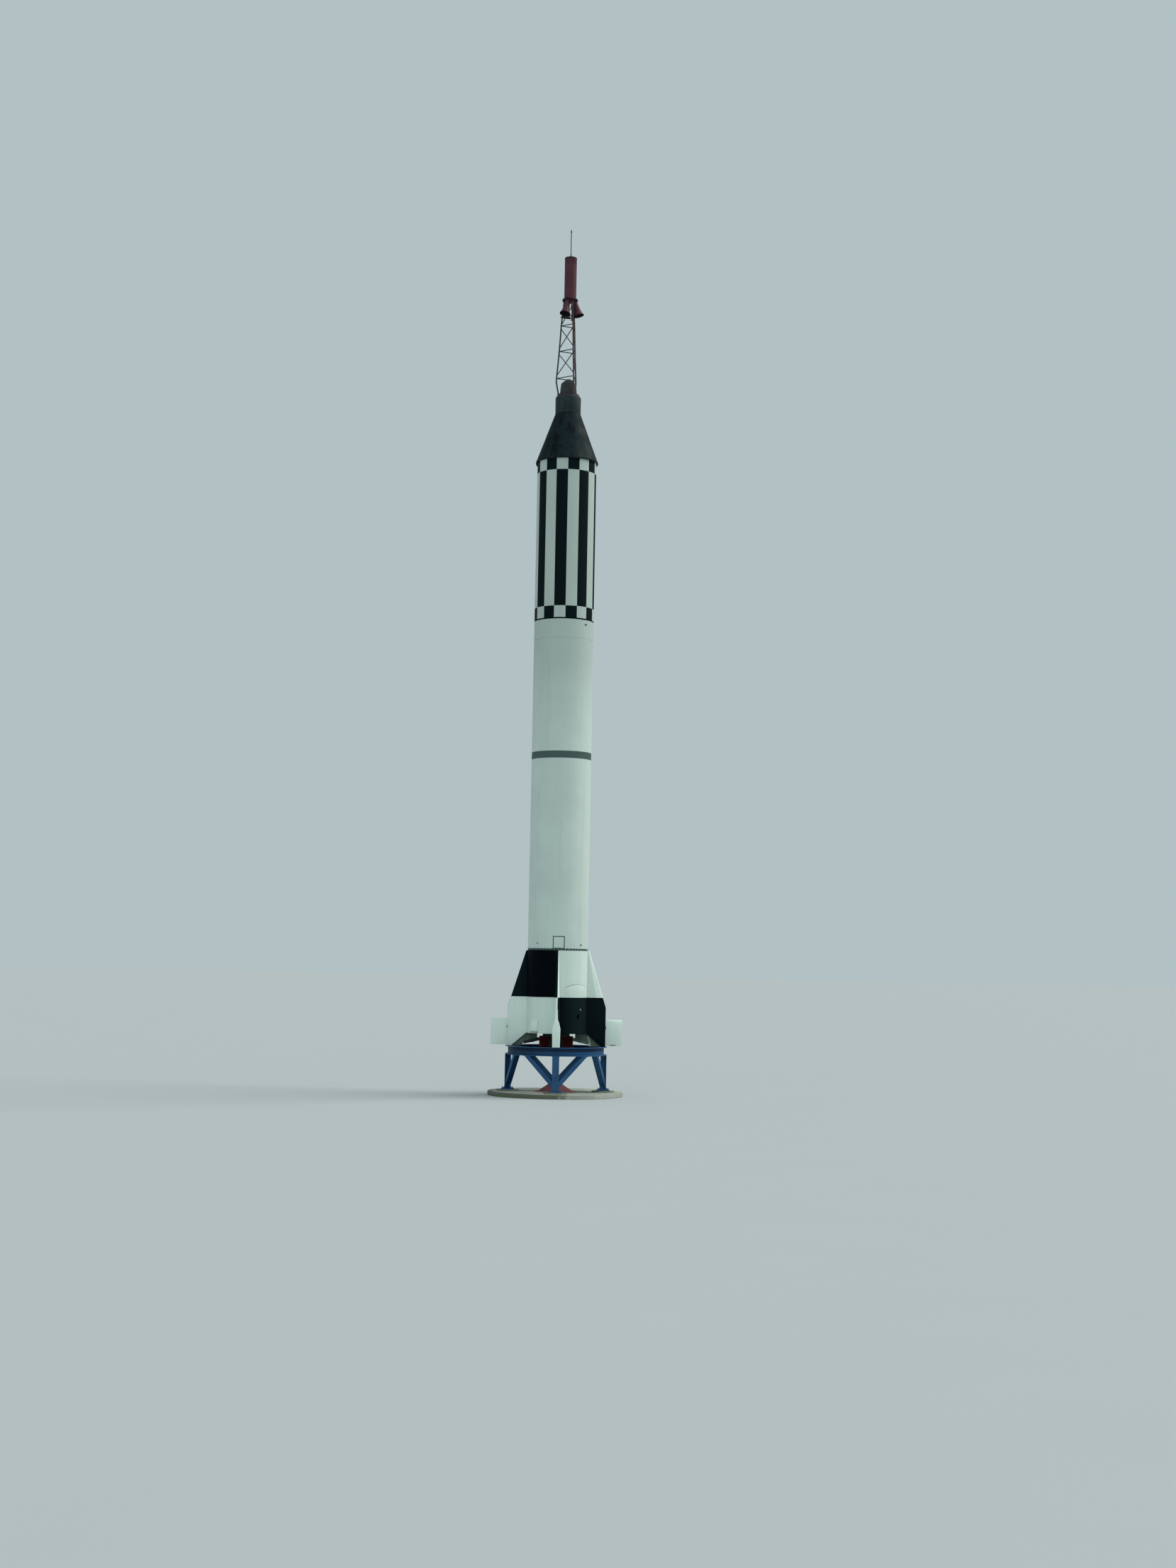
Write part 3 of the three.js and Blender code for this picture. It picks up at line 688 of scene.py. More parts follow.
def addDeflector(look):
    low, high, rim = roundBox("deflector_cone")
    lip = low + look["lip"]
    bm = spinProfile([
        (0, low), (rim, low), (rim, lip), (rim - 0.002, lip + 0.002), (rim * 0.78, lip + 0.012),
        (rim * 0.766, lip + 0.016), (rim * 0.742, lip + 0.032), (rim * 0.45, lip + 0.154),
        (rim * 0.31, high - 0.010), (rim * 0.297, high - 0.002), (rim * 0.28, high), (0, high),
    ], look["steps"])
    bolts = boltRing(look["bolts"], look["boltRadius"], low + look["boltHeight"], look["boltSize"],
                     look["boltStart"])
    makePiece("deflectorCone", joined(bm, bolts), ["fadedRedPaint"], "deflector_cone")


addSlab(slabLook)
for name, azimuth in quarters.items():
    addFootPad(name, azimuth, padLook)
addStrips(stripLook)
addDeflector(deflectorLook)

# Stand

print("stand")

ringLook = {
    "steps": 192, "flange": 0.018, "web": 0.014, "fillet": 0.01, "edge": 0.003, "stiffeners": 16,
    "stiffenerThickness": 0.01, "stiffenerInset": 0.008, "bolts": 48, "boltSize": 0.010,
    "boltInset": 0.035, "boltStart": 3.75,
}
standLook = {  # the sections give width, depth, flange and web, and the boxes length, width and height
    "leg": (0.20, 0.176, 0.022, 0.010), "brace": (0.13, 0.162, 0.014, 0.009), "edge": 0.003,
    "legCap": (0.176, 0.23, 0.012), "braceCap": (0.16, 0.26, 0.010), "capEdge": 0.002,
    "spread": 35, "braceFoot": 0.14, "braceReach": 1.15, "plate": 0.38, "plateThickness": 0.025,
    "plateEdge": 0.004, "anchor": 0.15, "gussetAt": 0.36,
}
gussetLook = {
    "width": 0.045, "height": 0.07, "toe": 0.010, "peak": 0.012, "thickness": 0.010, "edge": 0.002,
}
anchorParts = (  # the stud's end, a washer and a nut: height, radius, sides and edge
    (0.055, 0.011, 12, 0.002), (0.004, 0.030, 20, 0), (0.024, 0.020, 6, 0.002),
)
plateTop = padTop + standLook["plateThickness"]


def addRing(look):
    outer, inner = ringRadius, 2 * standRadius - ringRadius
    web, edge, fillet = look["web"] / 2, look["edge"], look["fillet"]
    below, over = ringBottom + look["flange"], ringTop - look["flange"]
    profile = [
        (inner, ringBottom + edge), (inner + edge, ringBottom), (outer - edge, ringBottom),
        (outer, ringBottom + edge), (outer, below - edge), (outer - edge, below),
        (standRadius + web + fillet, below), (standRadius + web, below + fillet),
        (standRadius + web, over - fillet), (standRadius + web + fillet, over), (outer - edge, over),
        (outer, over + edge), (outer, ringTop - edge), (outer - edge, ringTop), (inner + edge, ringTop),
        (inner, ringTop - edge), (inner, over + edge), (inner + edge, over),
        (standRadius - web - fillet, over), (standRadius - web, over - fillet),
        (standRadius - web, below + fillet), (standRadius - web - fillet, below), (inner + edge, below),
        (inner, below - edge),
    ]
    ring = closedSpin(profile, look["steps"])
    parts = [painted(ring, lambda middle: int(below < middle.z < over - 0.001))]
    depth = (outer - inner) / 2 - web - look["stiffenerInset"]
    size = (depth, look["stiffenerThickness"], over - below - 0.001)
    for index in range(look["stiffeners"]):
        azimuth = 360 / look["stiffeners"] * (index + 0.5)
        at = uprightFrame(azimuth, standRadius - web - depth / 2, (below + over) / 2)
        parts.append(painted(boxMesh(size, at, 0.001, 1), 1))
    for radius in (outer - look["boltInset"], inner + look["boltInset"]):
        parts.append(boltRing(look["bolts"], radius, ringTop - 0.006, look["boltSize"], look["boltStart"]))
    makePiece("standRing", joined(*parts), ["bluePaint", "ringPaint"], "stand_ring")


def hOutline(width, depth, flange, web):
    side, end, half = width / 2, depth / 2, web / 2
    inner = end - flange
    return [(-side, -end), (side, -end), (side, -inner), (half, -inner), (half, inner), (side, inner),
            (side, end), (-side, end), (-side, inner), (-half, inner), (-half, -inner), (-side, -inner)]


def beamMesh(start, end, section, facing, edge):  # an H beam, its web in the second finish
    along = (end - start).normalized()
    across = facing.cross(along).normalized()
    width, depth, _, _ = section
    bm = plateMesh(hOutline(*section), (end - start).length, edge, 1)
    painted(bm, lambda middle: int(abs(middle.x) < width / 2 - 0.004 and abs(middle.y) < depth / 2 - 0.004))
    return moved(bm, Matrix.Translation((start + end) / 2) @ turnedTo(across, along.cross(across), along))


def gussetMesh(look):
    outline = [(0, 0), (look["width"], 0), (look["width"], look["toe"]), (look["peak"], look["height"]),
               (0, look["height"])]
    return plateMesh(outline, look["thickness"], look["edge"], 1)


def anchorMesh(foot):
    return joined(*[rodMesh(foot, foot + up * height, radius, sides, edge)
                    for height, radius, sides, edge in anchorParts])


def braceParts(azimuth, side, look):  # a brace from the leg's foot up to the ring, and its cap there
    spread = azimuth + side * look["spread"]
    start = polar(azimuth, standRadius, padTop + look["braceFoot"])
    end = polar(spread, standRadius, ringBottom)
    facing = polar(azimuth + side * look["spread"] / 2, 1, 0)
    beyond = start + (end - start) * look["braceReach"]
    brace = beamMesh(start, beyond, look["brace"], facing, look["edge"])
    cap = uprightFrame(spread, standRadius, ringBottom - look["braceCap"][2] / 2)
    return [keptBelow(brace, ringBottom - 0.001), boxMesh(look["braceCap"], cap, look["capEdge"])]


def footParts(azimuth, side, look):  # the gussets and the anchors on one side of a leg
    _, depth, _, _ = look["leg"]
    parts = []
    for face in (-1, 1):
        shift = Matrix.Translation((face * depth / 2, 0, side * look["leg"][0] * look["gussetAt"]))
        flip = Matrix.Diagonal((face, 1, 1, 1))
        gusset = moved(gussetMesh(gussetLook), outwardFrame(azimuth, standRadius, plateTop) @ shift @ flip)
        bmesh.ops.recalc_face_normals(gusset, faces=gusset.faces)
        spot = Vector((face * look["anchor"], side * look["anchor"], 0))
        parts += [gusset, anchorMesh(uprightFrame(azimuth, standRadius, plateTop) @ spot)]
    return parts


def addLeg(name, azimuth, look):
    thickness = look["legCap"][2]
    foot = polar(azimuth, standRadius, plateTop - 0.003)
    head = polar(azimuth, standRadius, ringBottom - thickness)
    base = uprightFrame(azimuth, standRadius, (padTop + plateTop) / 2)
    cap = uprightFrame(azimuth, standRadius, ringBottom - thickness / 2)
    parts = [beamMesh(foot, head, look["leg"], polar(azimuth, 1, 0), look["edge"]),
             boxMesh((look["plate"], look["plate"], look["plateThickness"]), base, look["plateEdge"]),
             boxMesh(look["legCap"], cap, look["capEdge"])]
    for side in (-1, 1):
        parts += braceParts(azimuth, side, look) + footParts(azimuth, side, look)
    makePiece(f"standLeg_{name}", joined(*parts), ["bluePaint", "webPaint"],
              f"stand_leg_{name}")


addRing(ringLook)
for name, azimuth in quarters.items():
    addLeg(name, azimuth, standLook)

# Tail: the shell, the fins and the rudders

print("tail")

tailLook = {
    "steps": 192, "wall": 0.012, "bulkhead": 0.02, "edge": 0.003, "rowSplit": 2.77, "doubler": 0.004,
    "doublerHeight": 0.07,
}
coverLook = {
    "from": 13, "to": 74, "top": 3.04, "rise": 0.13, "arch": 0.8, "thickness": 0.014, "taper": 0.16,
    "sunk": 0.004, "steps": 48,
}
bracketBoxLook = {
    "azimuth": -46.5, "height": 1.915, "thickness": 0.05, "edge": 0.008, "standsOff": 0.008,
    "outline": ((-0.150, -0.155), (0.120, -0.155), (0.150, 0.155), (-0.105, 0.155)),
    "line": {
        "height": above(1.748), "width": 0.29, "tall": 0.018, "thick": 0.024, "radius": bodyRadius + 0.006,
    },
}
tailMarks = {  # azimuth, height, width, how tall, how far it stands out, finish and slot
    "tailSlot": (44.7, 2.21, 0.066, 0.14, 0.003, "slotPaint", "seam_paint"),
    "tailDot": (51.5, 2.42, 0.05, 0.05, 0.006, "blockPaint", "white_paint"),
}
rowEdge = above(tailLook["rowSplit"])
whiteFace, blackFace = 0, 1  # places in a piece's list of finishes
insideFace = 2  # in the tail shell's list
lowFace, highlightFace = 2, 3  # in a fin's list


def quarterPaint(azimuth, height):
    quarter = math.floor(azimuth / 90) % 2
    return quarter if height > rowEdge else 1 - quarter


def finPaint(azimuth, height):  # the white of the lower row is a lighter one
    face = quarterPaint(azimuth, height)
    return lowFace if face == whiteFace and height < rowEdge else face


def addTailShell(look):
    inner, edge = bodyRadius - look["wall"], look["edge"]
    ceiling = tailTop - look["bulkhead"]
    doubler, doublerTop = bodyRadius + look["doubler"], tailBottom + look["doublerHeight"]
    bm = spinProfile([
        (0, ceiling), (inner, ceiling), (inner, tailBottom), (bodyRadius, tailBottom),
        (doubler, tailBottom + 0.002), (doubler, doublerTop), (bodyRadius, doublerTop + 0.003),
        (bodyRadius, rowEdge), (bodyRadius, tailTop - edge), (bodyRadius - edge, tailTop), (0, tailTop),
    ], look["steps"])

    def shellPaint(middle):
        isInside = middle.xy.length < inner + 0.001 and middle.z < tailTop - 0.001
        return insideFace if isInside else quarterPaint(azimuthOf(middle), middle.z)

    makePiece("tailShell", painted(bm, shellPaint), ["shellWhite", "tailBlack", "darkSteel"],
              "tail_shell")


def addTailCover(name, azimuth, look):  # a thin arched cover between two fins, above the colour change
    start, sweep = azimuth + look["from"], look["to"] - look["from"]
    sunk, thick = look["sunk"], look["thickness"]
    bottom, top = rowEdge, above(look["top"])
    middle = (bottom + top) / 2
    bm = closedSpin([
        (bodyRadius - sunk, bottom), (bodyRadius + thick * 0.4, bottom), (bodyRadius + thick, middle),
        (bodyRadius + thick, top - 0.02), (bodyRadius + thick * 0.7, top - 0.006), (bodyRadius - sunk, top),
    ], look["steps"], start, sweep)
    painted(bm, lambda centre: int(centre.z > top - 0.016))
    for vert in bm.verts:
        share = (azimuthOf(vert.co) - start + 180) % 360 - 180
        share = min(max(share / sweep, 0), 1)
        if vert.co.z > middle + 0.01:
            vert.co.z += look["rise"] * math.sin(math.pi * share) ** look["arch"]
        reach = vert.co.xy.length
        proud = max(reach - bodyRadius + sunk, 0) * min(min(share, 1 - share) / look["taper"], 1)
        vert.co.xy *= (bodyRadius - sunk + proud) / reach
    isBlack = quarterPaint(azimuth + 45, top) == blackFace
    finish = ["tailBlack", "tailBlack"] if isBlack else ["shellWhite", "edgePaint"]
    makePiece(f"tailCover_{name}", bm, finish, smooth=50)


def addBracketBox(look):
    flat = outwardFrame(look["azimuth"], bodyRadius + look["standsOff"], above(look["height"]))
    plate = moved(plateMesh(look["outline"], look["thickness"], look["edge"]),
                  flat @ Matrix.Rotation(math.radians(90), 4, "Y"))
    line = painted(patchMesh(look["azimuth"], **look["line"]), 1)
    makePiece("tailBracketBox", joined(plate, line), ["lowWhite", "blockPaint"])


def addMarks(marks):
    for name, (azimuth, height, width, tall, thick, finish, slot) in marks.items():
        makePiece(name, patchMesh(azimuth, above(height), width, tall, thick=thick), [finish])


finLook = {
    "topRadius": 0.937, "tipRadius": 1.454, "tipTop": 2.48, "footRadius": 1.33, "edgeHalf": 0.030,
    "wedge": 0.123, "nose": 0.024, "noseSegments": 5, "edge": 0.006, "rootInset": 0.0115,
    "highlightTop": 0.02, "highlightBottom": 0.20, "rivetPitch": 0.08, "rivet": 0.004, "rivetSunk": 0.002,
    "rows": (0.55, 1.0), "rowFrom": 0.96, "rowTo": 1.40, "innerRow": 0.93, "outerRow": 1.42,
}
finTipTop = above(finLook["tipTop"])
finLead = (finLook["tipRadius"] - finLook["topRadius"]) / (tailTop - finTipTop)  # outwards for each fall


def finHalf(x, y, look):  # half the fin's thickness at this distance and height
    edgeRadius = look["topRadius"] + finLead * (tailTop - y)
    return look["edgeHalf"] + look["wedge"] * (edgeRadius - x) * math.cos(math.atan(finLead))


def roundedNose(bm, look):  # the leading edges are the long sloped ones
    def isLeading(edge):
        first, second = (vert.co for vert in edge.verts)
        isHigh = min(first.y, second.y) > finTipTop - 1e-4
        isOuter = min(first.x, second.x) > look["topRadius"] - 1e-4
        return isHigh and isOuter and abs(first.y - second.y) > 0.1

    return bevelled(bm, [edge for edge in bm.edges if isLeading(edge)], look["nose"], look["noseSegments"])


def finRivets(azimuth, look):
    rows = [
        (look["innerRow"], tailBottom + 0.05, look["innerRow"], tailTop - 0.35),
        (look["outerRow"], ringTop + 0.06, look["outerRow"], finTipTop - 0.05),
    ] + [(look["rowFrom"], ringTop + height, look["rowTo"], ringTop + height) for height in look["rows"]]
    rivets = []
    for side in (-1, 1):
        for startX, startY, endX, endY in rows:
            ends = [(x, y, side * (finHalf(x, y, look) - look["rivetSunk"]))
                    for x, y in ((startX, startY), (endX, endY))]
            rivets.append(rivetRow(*ends, look["rivetPitch"], look["rivet"]))
    return painted(joined(*rivets),
                   lambda middle: finPaint(azimuth + (45 if middle.z < 0 else -45), middle.y))


def addFin(name, azimuth, look):
    root, tip = bodyRadius - look["rootInset"], look["tipRadius"]
    bm = plateMesh([
        (root, tailBottom), (bodyRadius, tailBottom), (look["footRadius"], ringTop), (tip, ringTop),
        (tip, finTipTop), (look["topRadius"], tailTop), (root, tailTop),
    ], 2)
    for vert in bm.verts:  # so far each side lies 1 m out
        vert.co.z *= finHalf(vert.co.x, vert.co.y, look)
    softened(roundedNose(bm, look), look["edge"], 2, 40)
    splitAt(bm, (0, rowEdge, 0), (0, 1, 0))
    highlightStart = Vector((look["topRadius"] - look["highlightTop"], tailTop, 0))
    highlightEnd = Vector((look["topRadius"] + finLead * (tailTop - rowEdge) - look["highlightBottom"], rowEdge, 0))
    outwards = Vector((highlightStart.y - highlightEnd.y, highlightEnd.x - highlightStart.x, 0)).normalized()
    splitAt(bm, highlightStart, outwards)
    for face in bm.faces:
        middle = face.calc_center_median()
        face.material_index = finPaint(azimuth + (45 if face.normal.z < -0.6 else -45), middle.y)
        if face.material_index == whiteFace and (middle - highlightStart).dot(outwards) > 0:
            face.material_index = highlightFace  # a painted highlight runs along the leading edge
    whole = moved(joined(bm, finRivets(azimuth, look)), outwardFrame(azimuth))
    makePiece(f"fin_{name}Skin", whole, ["shellWhite", "blackPaint", "lowWhite", "highlightWhite"],
              f"fin_{name}", smooth=40)


rudderLook = {  # the nose gives half the thickness and the drop from the top
    "root": 1.470, "tip": 1.932, "hinge": 1.88, "ridgeHalf": 0.118, "bottomHalf": 0.110, "edge": 0.005,
    "shaftRadius": 0.030, "shaftFrom": 1.364, "slot": (0.004, 0.020, 0.165), "slotRise": 0.03,
    "nose": (
        (0.012, 0.0015), (0.028, 0.007), (0.041, 0.016), (0.052, 0.027), (0.062, 0.041), (0.070, 0.057),
    ),
}


def addRudder(name, azimuth, look):
    low, top, _ = roundBox(f"rudder_{name}")
    hinge = above(look["hinge"])
    side = [(half, top - drop) for half, drop in look["nose"]]
    side += [(look["ridgeHalf"], hinge), (look["bottomHalf"], low)]
    outline = [(0, top)] + [(-half, height) for half, height in side] + side[::-1]
    span = look["tip"] - look["root"]
    slotAt = Matrix.Translation((-look["bottomHalf"], low + look["slotRise"], -0.03))
    blade = joined(plateMesh(outline, span, look["edge"]), painted(boxMesh(look["slot"], slotAt, 0.001), 1))
    out = polar(azimuth, 1, 0)
    moved(blade, Matrix.Translation(out * (look["root"] + span / 2)) @ turnedTo(up.cross(out), up, out))
    ends = [polar(azimuth, radius, hinge) for radius in (
        look["shaftFrom"], look["root"] + 0.02, look["root"] - 0.008, look["root"] + 0.01)]
    shaft = rodMesh(*ends[:2], look["shaftRadius"], 32)
    collar = rodMesh(*ends[2:], look["shaftRadius"] * 1.7, 32, edge=0.002)
    makePiece(f"rudder_{name}Skin", joined(blade, painted(shaft, 2), painted(collar, 2)),
              ["lowWhite", "seamPaint", "steelPaint"], f"rudder_{name}",
              f"{name}_rudder", smooth=28)


bracketLook = {  # the drops are below the tail, and the strip's ends are distance and height
    "half": 0.030, "inner": 0.560, "arm": 0.945, "seat": 1.075, "innerDrop": 0.145, "outerDrop": 0.240,
    "seatDrop": 0.270, "armHalf": 0.050, "armInnerDrop": 0.175, "armOuterDrop": 0.280,
    "stripWidth": 0.05, "stripTop": (0.935, above(1.645), 0), "stripFoot": (1.02, above(1.335), 0),
    "boltDrop": 0.035, "boltSpan": 0.30, "boltsAt": (0.12, 0.37, 0.62, 0.87), "boltSize": 0.011,
}
armRings = (  # from and to along the arm, how thick, and how many sides
    (0.40, 0.47, 1.2, 24), (0.93, 1.0, 1.15, 6),
)


def bracketSides(look, top):  # a strip and a row of bolts on each side; the strips' paleness on the right is painted light
    start, end = Vector(look["stripTop"]), Vector(look["stripFoot"])
    along = (end - start).normalized()
    stripAt = Matrix.Translation((start + end) / 2) @ turnedTo(up.cross(along), along, up)
    size = (look["stripWidth"], (end - start).length, 0.012)
    parts = []
    for side in (-1, 1):
        lift = up * (side * (look["half"] + 0.005))
        parts.append(painted(boxMesh(size, Matrix.Translation(lift) @ stripAt, 0.003), 2))
        lift = up * (side * (look["half"] + 0.001))
        for share in look["boltsAt"]:
            reach = look["inner"] + look["boltSpan"] * share + 0.02
            at = Vector((reach, top - look["boltDrop"], 0)) + lift
            parts.append(rodMesh(at, at + lift * 0.4, look["boltSize"], 6, edge=0.001))
    return parts


def addFinBracket(name, azimuth, look):  # made lying on its side, with local z sideways
    top, seat = tailBottom - 0.0005, ringTop + 0.0005
    plate = plateMesh([
        (look["inner"], top - look["innerDrop"]), (look["arm"], top - look["outerDrop"]),
        (look["arm"], top - look["seatDrop"]), (look["seat"], seat), (finLook["footRadius"] - 0.002, seat),
        (bodyRadius - 0.001, top), (look["inner"], top),
    ], look["half"] * 2, 0.004)
    inner = Vector((roundBox("nozzle_shroud")[2] - 0.004, top - look["armInnerDrop"], 0))
    outer = Vector((look["arm"] + 0.02, top - look["armOuterDrop"], 0))
    arm = [rodMesh(inner, outer, look["armHalf"], 24, edge=0.004)]
    for start, end, thick, sides in armRings:
        arm.append(rodMesh(inner.lerp(outer, start), inner.lerp(outer, end), look["armHalf"] * thick, sides,
                           edge=0.004))
    parts = [plate] + bracketSides(look, top) + [painted(piece, 1) for piece in arm]
    makePiece(f"finBracket_{name}", moved(joined(*parts), outwardFrame(azimuth)),
              ["steelPaint", "armPaint", "stripPaint"], f"fin_bracket_{name}")


addTailShell(tailLook)
for name, azimuth in quarters.items():
    addTailCover(name, azimuth, coverLook)
addBracketBox(bracketBoxLook)
addMarks(tailMarks)
for name, azimuth in quarters.items():
    addFin(name, azimuth, finLook)
    addRudder(name, azimuth, rudderLook)
    addFinBracket(name, azimuth, bracketLook)

# Engine, its nozzle and the red shroud round it

print("engine")

nozzleLook = {
    "wall": 0.012, "throat": 0.200, "exit": 0.452, "neck": 0.06, "steps": 128, "bellPoints": 14,
    "hoops": (0.30, 0.50, 0.70, 0.88),
}
shroudLook = {
    "radius": 0.505, "wall": 0.014, "lip": 0.470, "edge": 0.003, "steps": 128, "panelsAt": (0, 180),
    "panelHalf": 24, "boltEdge": 21, "boltHeights": (0.10, 0.22, 0.34), "boltSize": 0.010,
}
engineLook = {
    "steps": 96, "bolts": 36, "boltInset": 0.045, "pipesAt": (35, 80, 125, 215, 260, 305),
    "pipeRadius": 0.035, "pipeReach": 0.05,
}


def addNozzle(look):
    low, high, _ = roundBox("engine_nozzle")
    throatHeight = high - look["neck"]
    fall = throatHeight - low

    def bellPoint(share):
        radius = look["throat"] + (look["exit"] - look["throat"]) * math.sqrt(share)
        return radius, throatHeight - fall * share

    outside = [bellPoint((index / look["bellPoints"]) ** 1.6) for index in range(look["bellPoints"] + 1)]
    inside = [(radius - look["wall"], height) for radius, height in outside]
    parts = [spinProfile([(0, throatHeight), *inside, *outside[::-1], (look["throat"], high), (0, high)],
                         look["steps"])]
    for share in look["hoops"]:
        radius, height = bellPoint(share)
        parts.append(closedSpin([
            (radius - 0.008, height - 0.010), (radius + 0.010, height - 0.012),
            (radius + 0.014, height - 0.006), (radius + 0.012, height + 0.008),
            (radius - 0.010, height + 0.008),
        ], look["steps"]))
    makePiece("engineNozzle", joined(*parts), ["darkSteel"], "engine_nozzle")


def shroudPanel(azimuth, low, high, look):  # a panel, darkened as painted shade, and its bolts
    outer, half = look["radius"], look["panelHalf"]
    parts = [closedSpin([
        (outer - 0.006, low + 0.06), (outer + 0.004, low + 0.062), (outer + 0.004, high - 0.068),
        (outer - 0.006, high - 0.066),
    ], 20, azimuth - half, half * 2)]
    for edge in (-look["boltEdge"], look["boltEdge"]):
        for height in look["boltHeights"]:
            at = polar(azimuth + edge, outer, low + height)
            head = at + polar(azimuth + edge, 0.012, 0)
            parts.append(rodMesh(at, head, look["boltSize"], 6, edge=0.001))
    return painted(joined(*parts), 2)


def addShroud(look):
    low, high, _ = roundBox("nozzle_shroud")
    exitHeight, wall = roundBox("engine_nozzle")[0], look["wall"]
    outer, inner, lip, bell = look["radius"], look["radius"] - wall, look["lip"], nozzleLook["exit"] + 0.001
    ring = closedSpin([
        (bell, exitHeight), (inner, exitHeight), (inner, low), (outer - look["edge"], low),
        (outer, low + 0.004), (outer, low + 0.05), (outer - 0.004, low + 0.054),
        (outer - 0.004, high - 0.06), (outer, high - 0.055), (outer, high - 0.005), (outer - 0.005, high),
        (lip, high), (lip, high - wall), (inner, high - wall), (inner, exitHeight + wall),
        (bell, exitHeight + wall),
    ], look["steps"])
    painted(ring, lambda middle: int(middle.z > high - 0.012 and middle.xy.length > lip - 0.01))
    panels = [shroudPanel(azimuth, low, high, look) for azimuth in look["panelsAt"]]
    makePiece("nozzleShroud", joined(ring, *panels), ["redPaint", "rimGrey", "panelPaint"],
              "nozzle_shroud")


def addEngine(look):
    low, high, radius = roundBox("engine_block")
    parts = [spinProfile([
        (0, low), (radius * 0.8, low), (radius - 0.02, low + 0.02), (radius, low + 0.05),
        (radius, low + 0.40), (radius - 0.03, low + 0.42), (radius - 0.03, low + 0.60),
        (radius, low + 0.62), (radius, high - 0.20), (radius - 0.04, high - 0.18), (radius - 0.04, high),
        (0, high),
    ], look["steps"])]
    parts.append(boltRing(look["bolts"], radius - look["boltInset"], low - 0.001, 0.009))
    thick = look["pipeRadius"]
    for azimuth in look["pipesAt"]:
        bend = polar(azimuth, radius + look["pipeReach"], low + 0.08)
        top = polar(azimuth, radius + look["pipeReach"], high - 0.05)
        parts += [rodMesh(bend, top, thick, 20, edge=0.004),
                  rodMesh(bend, polar(azimuth, radius - 0.03, low + 0.08), thick, 20),
                  ballMesh(bend, thick, 20)]
    makePiece("engineBlock", joined(*parts), ["darkSteel"], "engine_block")


addNozzle(nozzleLook)
addShroud(shroudLook)
addEngine(engineLook)

# Booster

print("booster")

stripes = {"count": 16, "start": 2.4, "perStripe": 10}
paintHeights = {  # above the deck
    "lineBottom": 13.955, "rowBottom": 14.0, "rowTop": 14.35, "topRowBottom": 18.46,
}
beadHalf = ((0.06, 0), (0.018, 0), (0.010, 0), (0.004, 0.0012))  # a weld's offset and rise, from one side
beadShape = [(-offset, rise) for offset, rise in beadHalf] + list(beadHalf[::-1])
bodySteps = stripes["count"] * stripes["perStripe"]


def stripedPaint(point):
    height = point.z - deckTop
    dark = math.floor((azimuthOf(point) - stripes["start"]) / (360 / stripes["count"])) % 2
    if height < paintHeights["lineBottom"]:
        return whiteFace
    if height < paintHeights["rowBottom"]:
        return blackFace
    if height < paintHeights["rowTop"] or height > paintHeights["topRowBottom"]:
        return 1 - dark
    return dark


def plainPaint(point):
    return whiteFace


plainLook = {
    "splits": (), "welds": (), "edge": 0.003, "paint": plainPaint, "finishes": ["whitePaint"],
    "slot": "white_paint",
}
stripedLook = dict(plainLook, paint=stripedPaint, finishes=["whitePaint", "blackPaint"])
bodyLooks = {
    "tankLower": dict(plainLook, node="tank_section_lower", welds=(5.6, 7.0, 8.4)),
    "tankBand": dict(plainLook, node="tank_band", finishes=["bandPaint"], edge=0.004, slot="band_paint"),
    "tankUpper": dict(plainLook, node="tank_section_upper", welds=(11.15, 12.28)),
    "instrumentJoint": dict(
        plainLook, node="instrument_joint_ring", finishes=["seamGrey"], edge=0.002, slot="seam_paint",
    ),
    "instrumentSection": dict(
        stripedLook, node="instrument_section", welds=(16.9,),
        splits=[paintHeights[key] for key in ("lineBottom", "rowBottom", "rowTop")],
    ),
    "capsuleAdapter": dict(stripedLook, node="capsule_adapter"),
}


def addBodySection(name, look):
    low, high, radius = roundBox(look["node"])
    edge, margin = look["edge"], 5 * look["edge"]
    levels = [(above(height), 0.0) for height in look["splits"]]
    levels += [(above(height) + offset, rise) for height in look["welds"] for offset, rise in beadShape]
    bm = spinProfile([
        (0.0, low), (radius - edge, low), (radius, low + edge), (radius, low + margin),
        *((radius + rise, height) for height, rise in sorted(levels)),
        (radius, high - margin), (radius, high - edge), (radius - edge, high), (0.0, high),
    ], bodySteps, stripes["start"])
    makePiece(name, painted(bm, look["paint"]), look["finishes"], look["node"])


jointLook = {"blocks": 50, "block": (0.012, 0.040, 0.028), "inset": 0.004}
frameLook = {"azimuth": 1.6, "middle": 4.375, "width": 0.355, "height": 0.37, "line": 0.027}
bodyMarks = {  # as the tail's marks
    "bodyMark_dot": (-43, 4.35, 0.034, 0.034, 0.008, "seamPaint", "seam_paint"),
    "bodyMark_dash": (49.4, 4.31, 0.075, 0.026, 0.008, "seamPaint", "seam_paint"),
    "bodyMark_dashHigh": (47, 13.82, 0.085, 0.035, 0.008, "seamPaint", "seam_paint"),
}


def addTailJoint(look):
    low, high, radius = roundBox("tail_joint_ring")
    parts = [spinProfile([(0, low), (radius, low), (radius, high), (0, high)], bodySteps)]
    blockHeight = high - look["block"][2] / 2 - look["inset"]
    for index in range(look["blocks"]):
        at = uprightFrame(360 / look["blocks"] * index, radius + 0.001, blockHeight)
        parts.append(painted(boxMesh(look["block"], at, 0.002), 1))
    makePiece("tailJoint", joined(*parts), ["jointPaint", "blockPaint"], "tail_joint_ring")


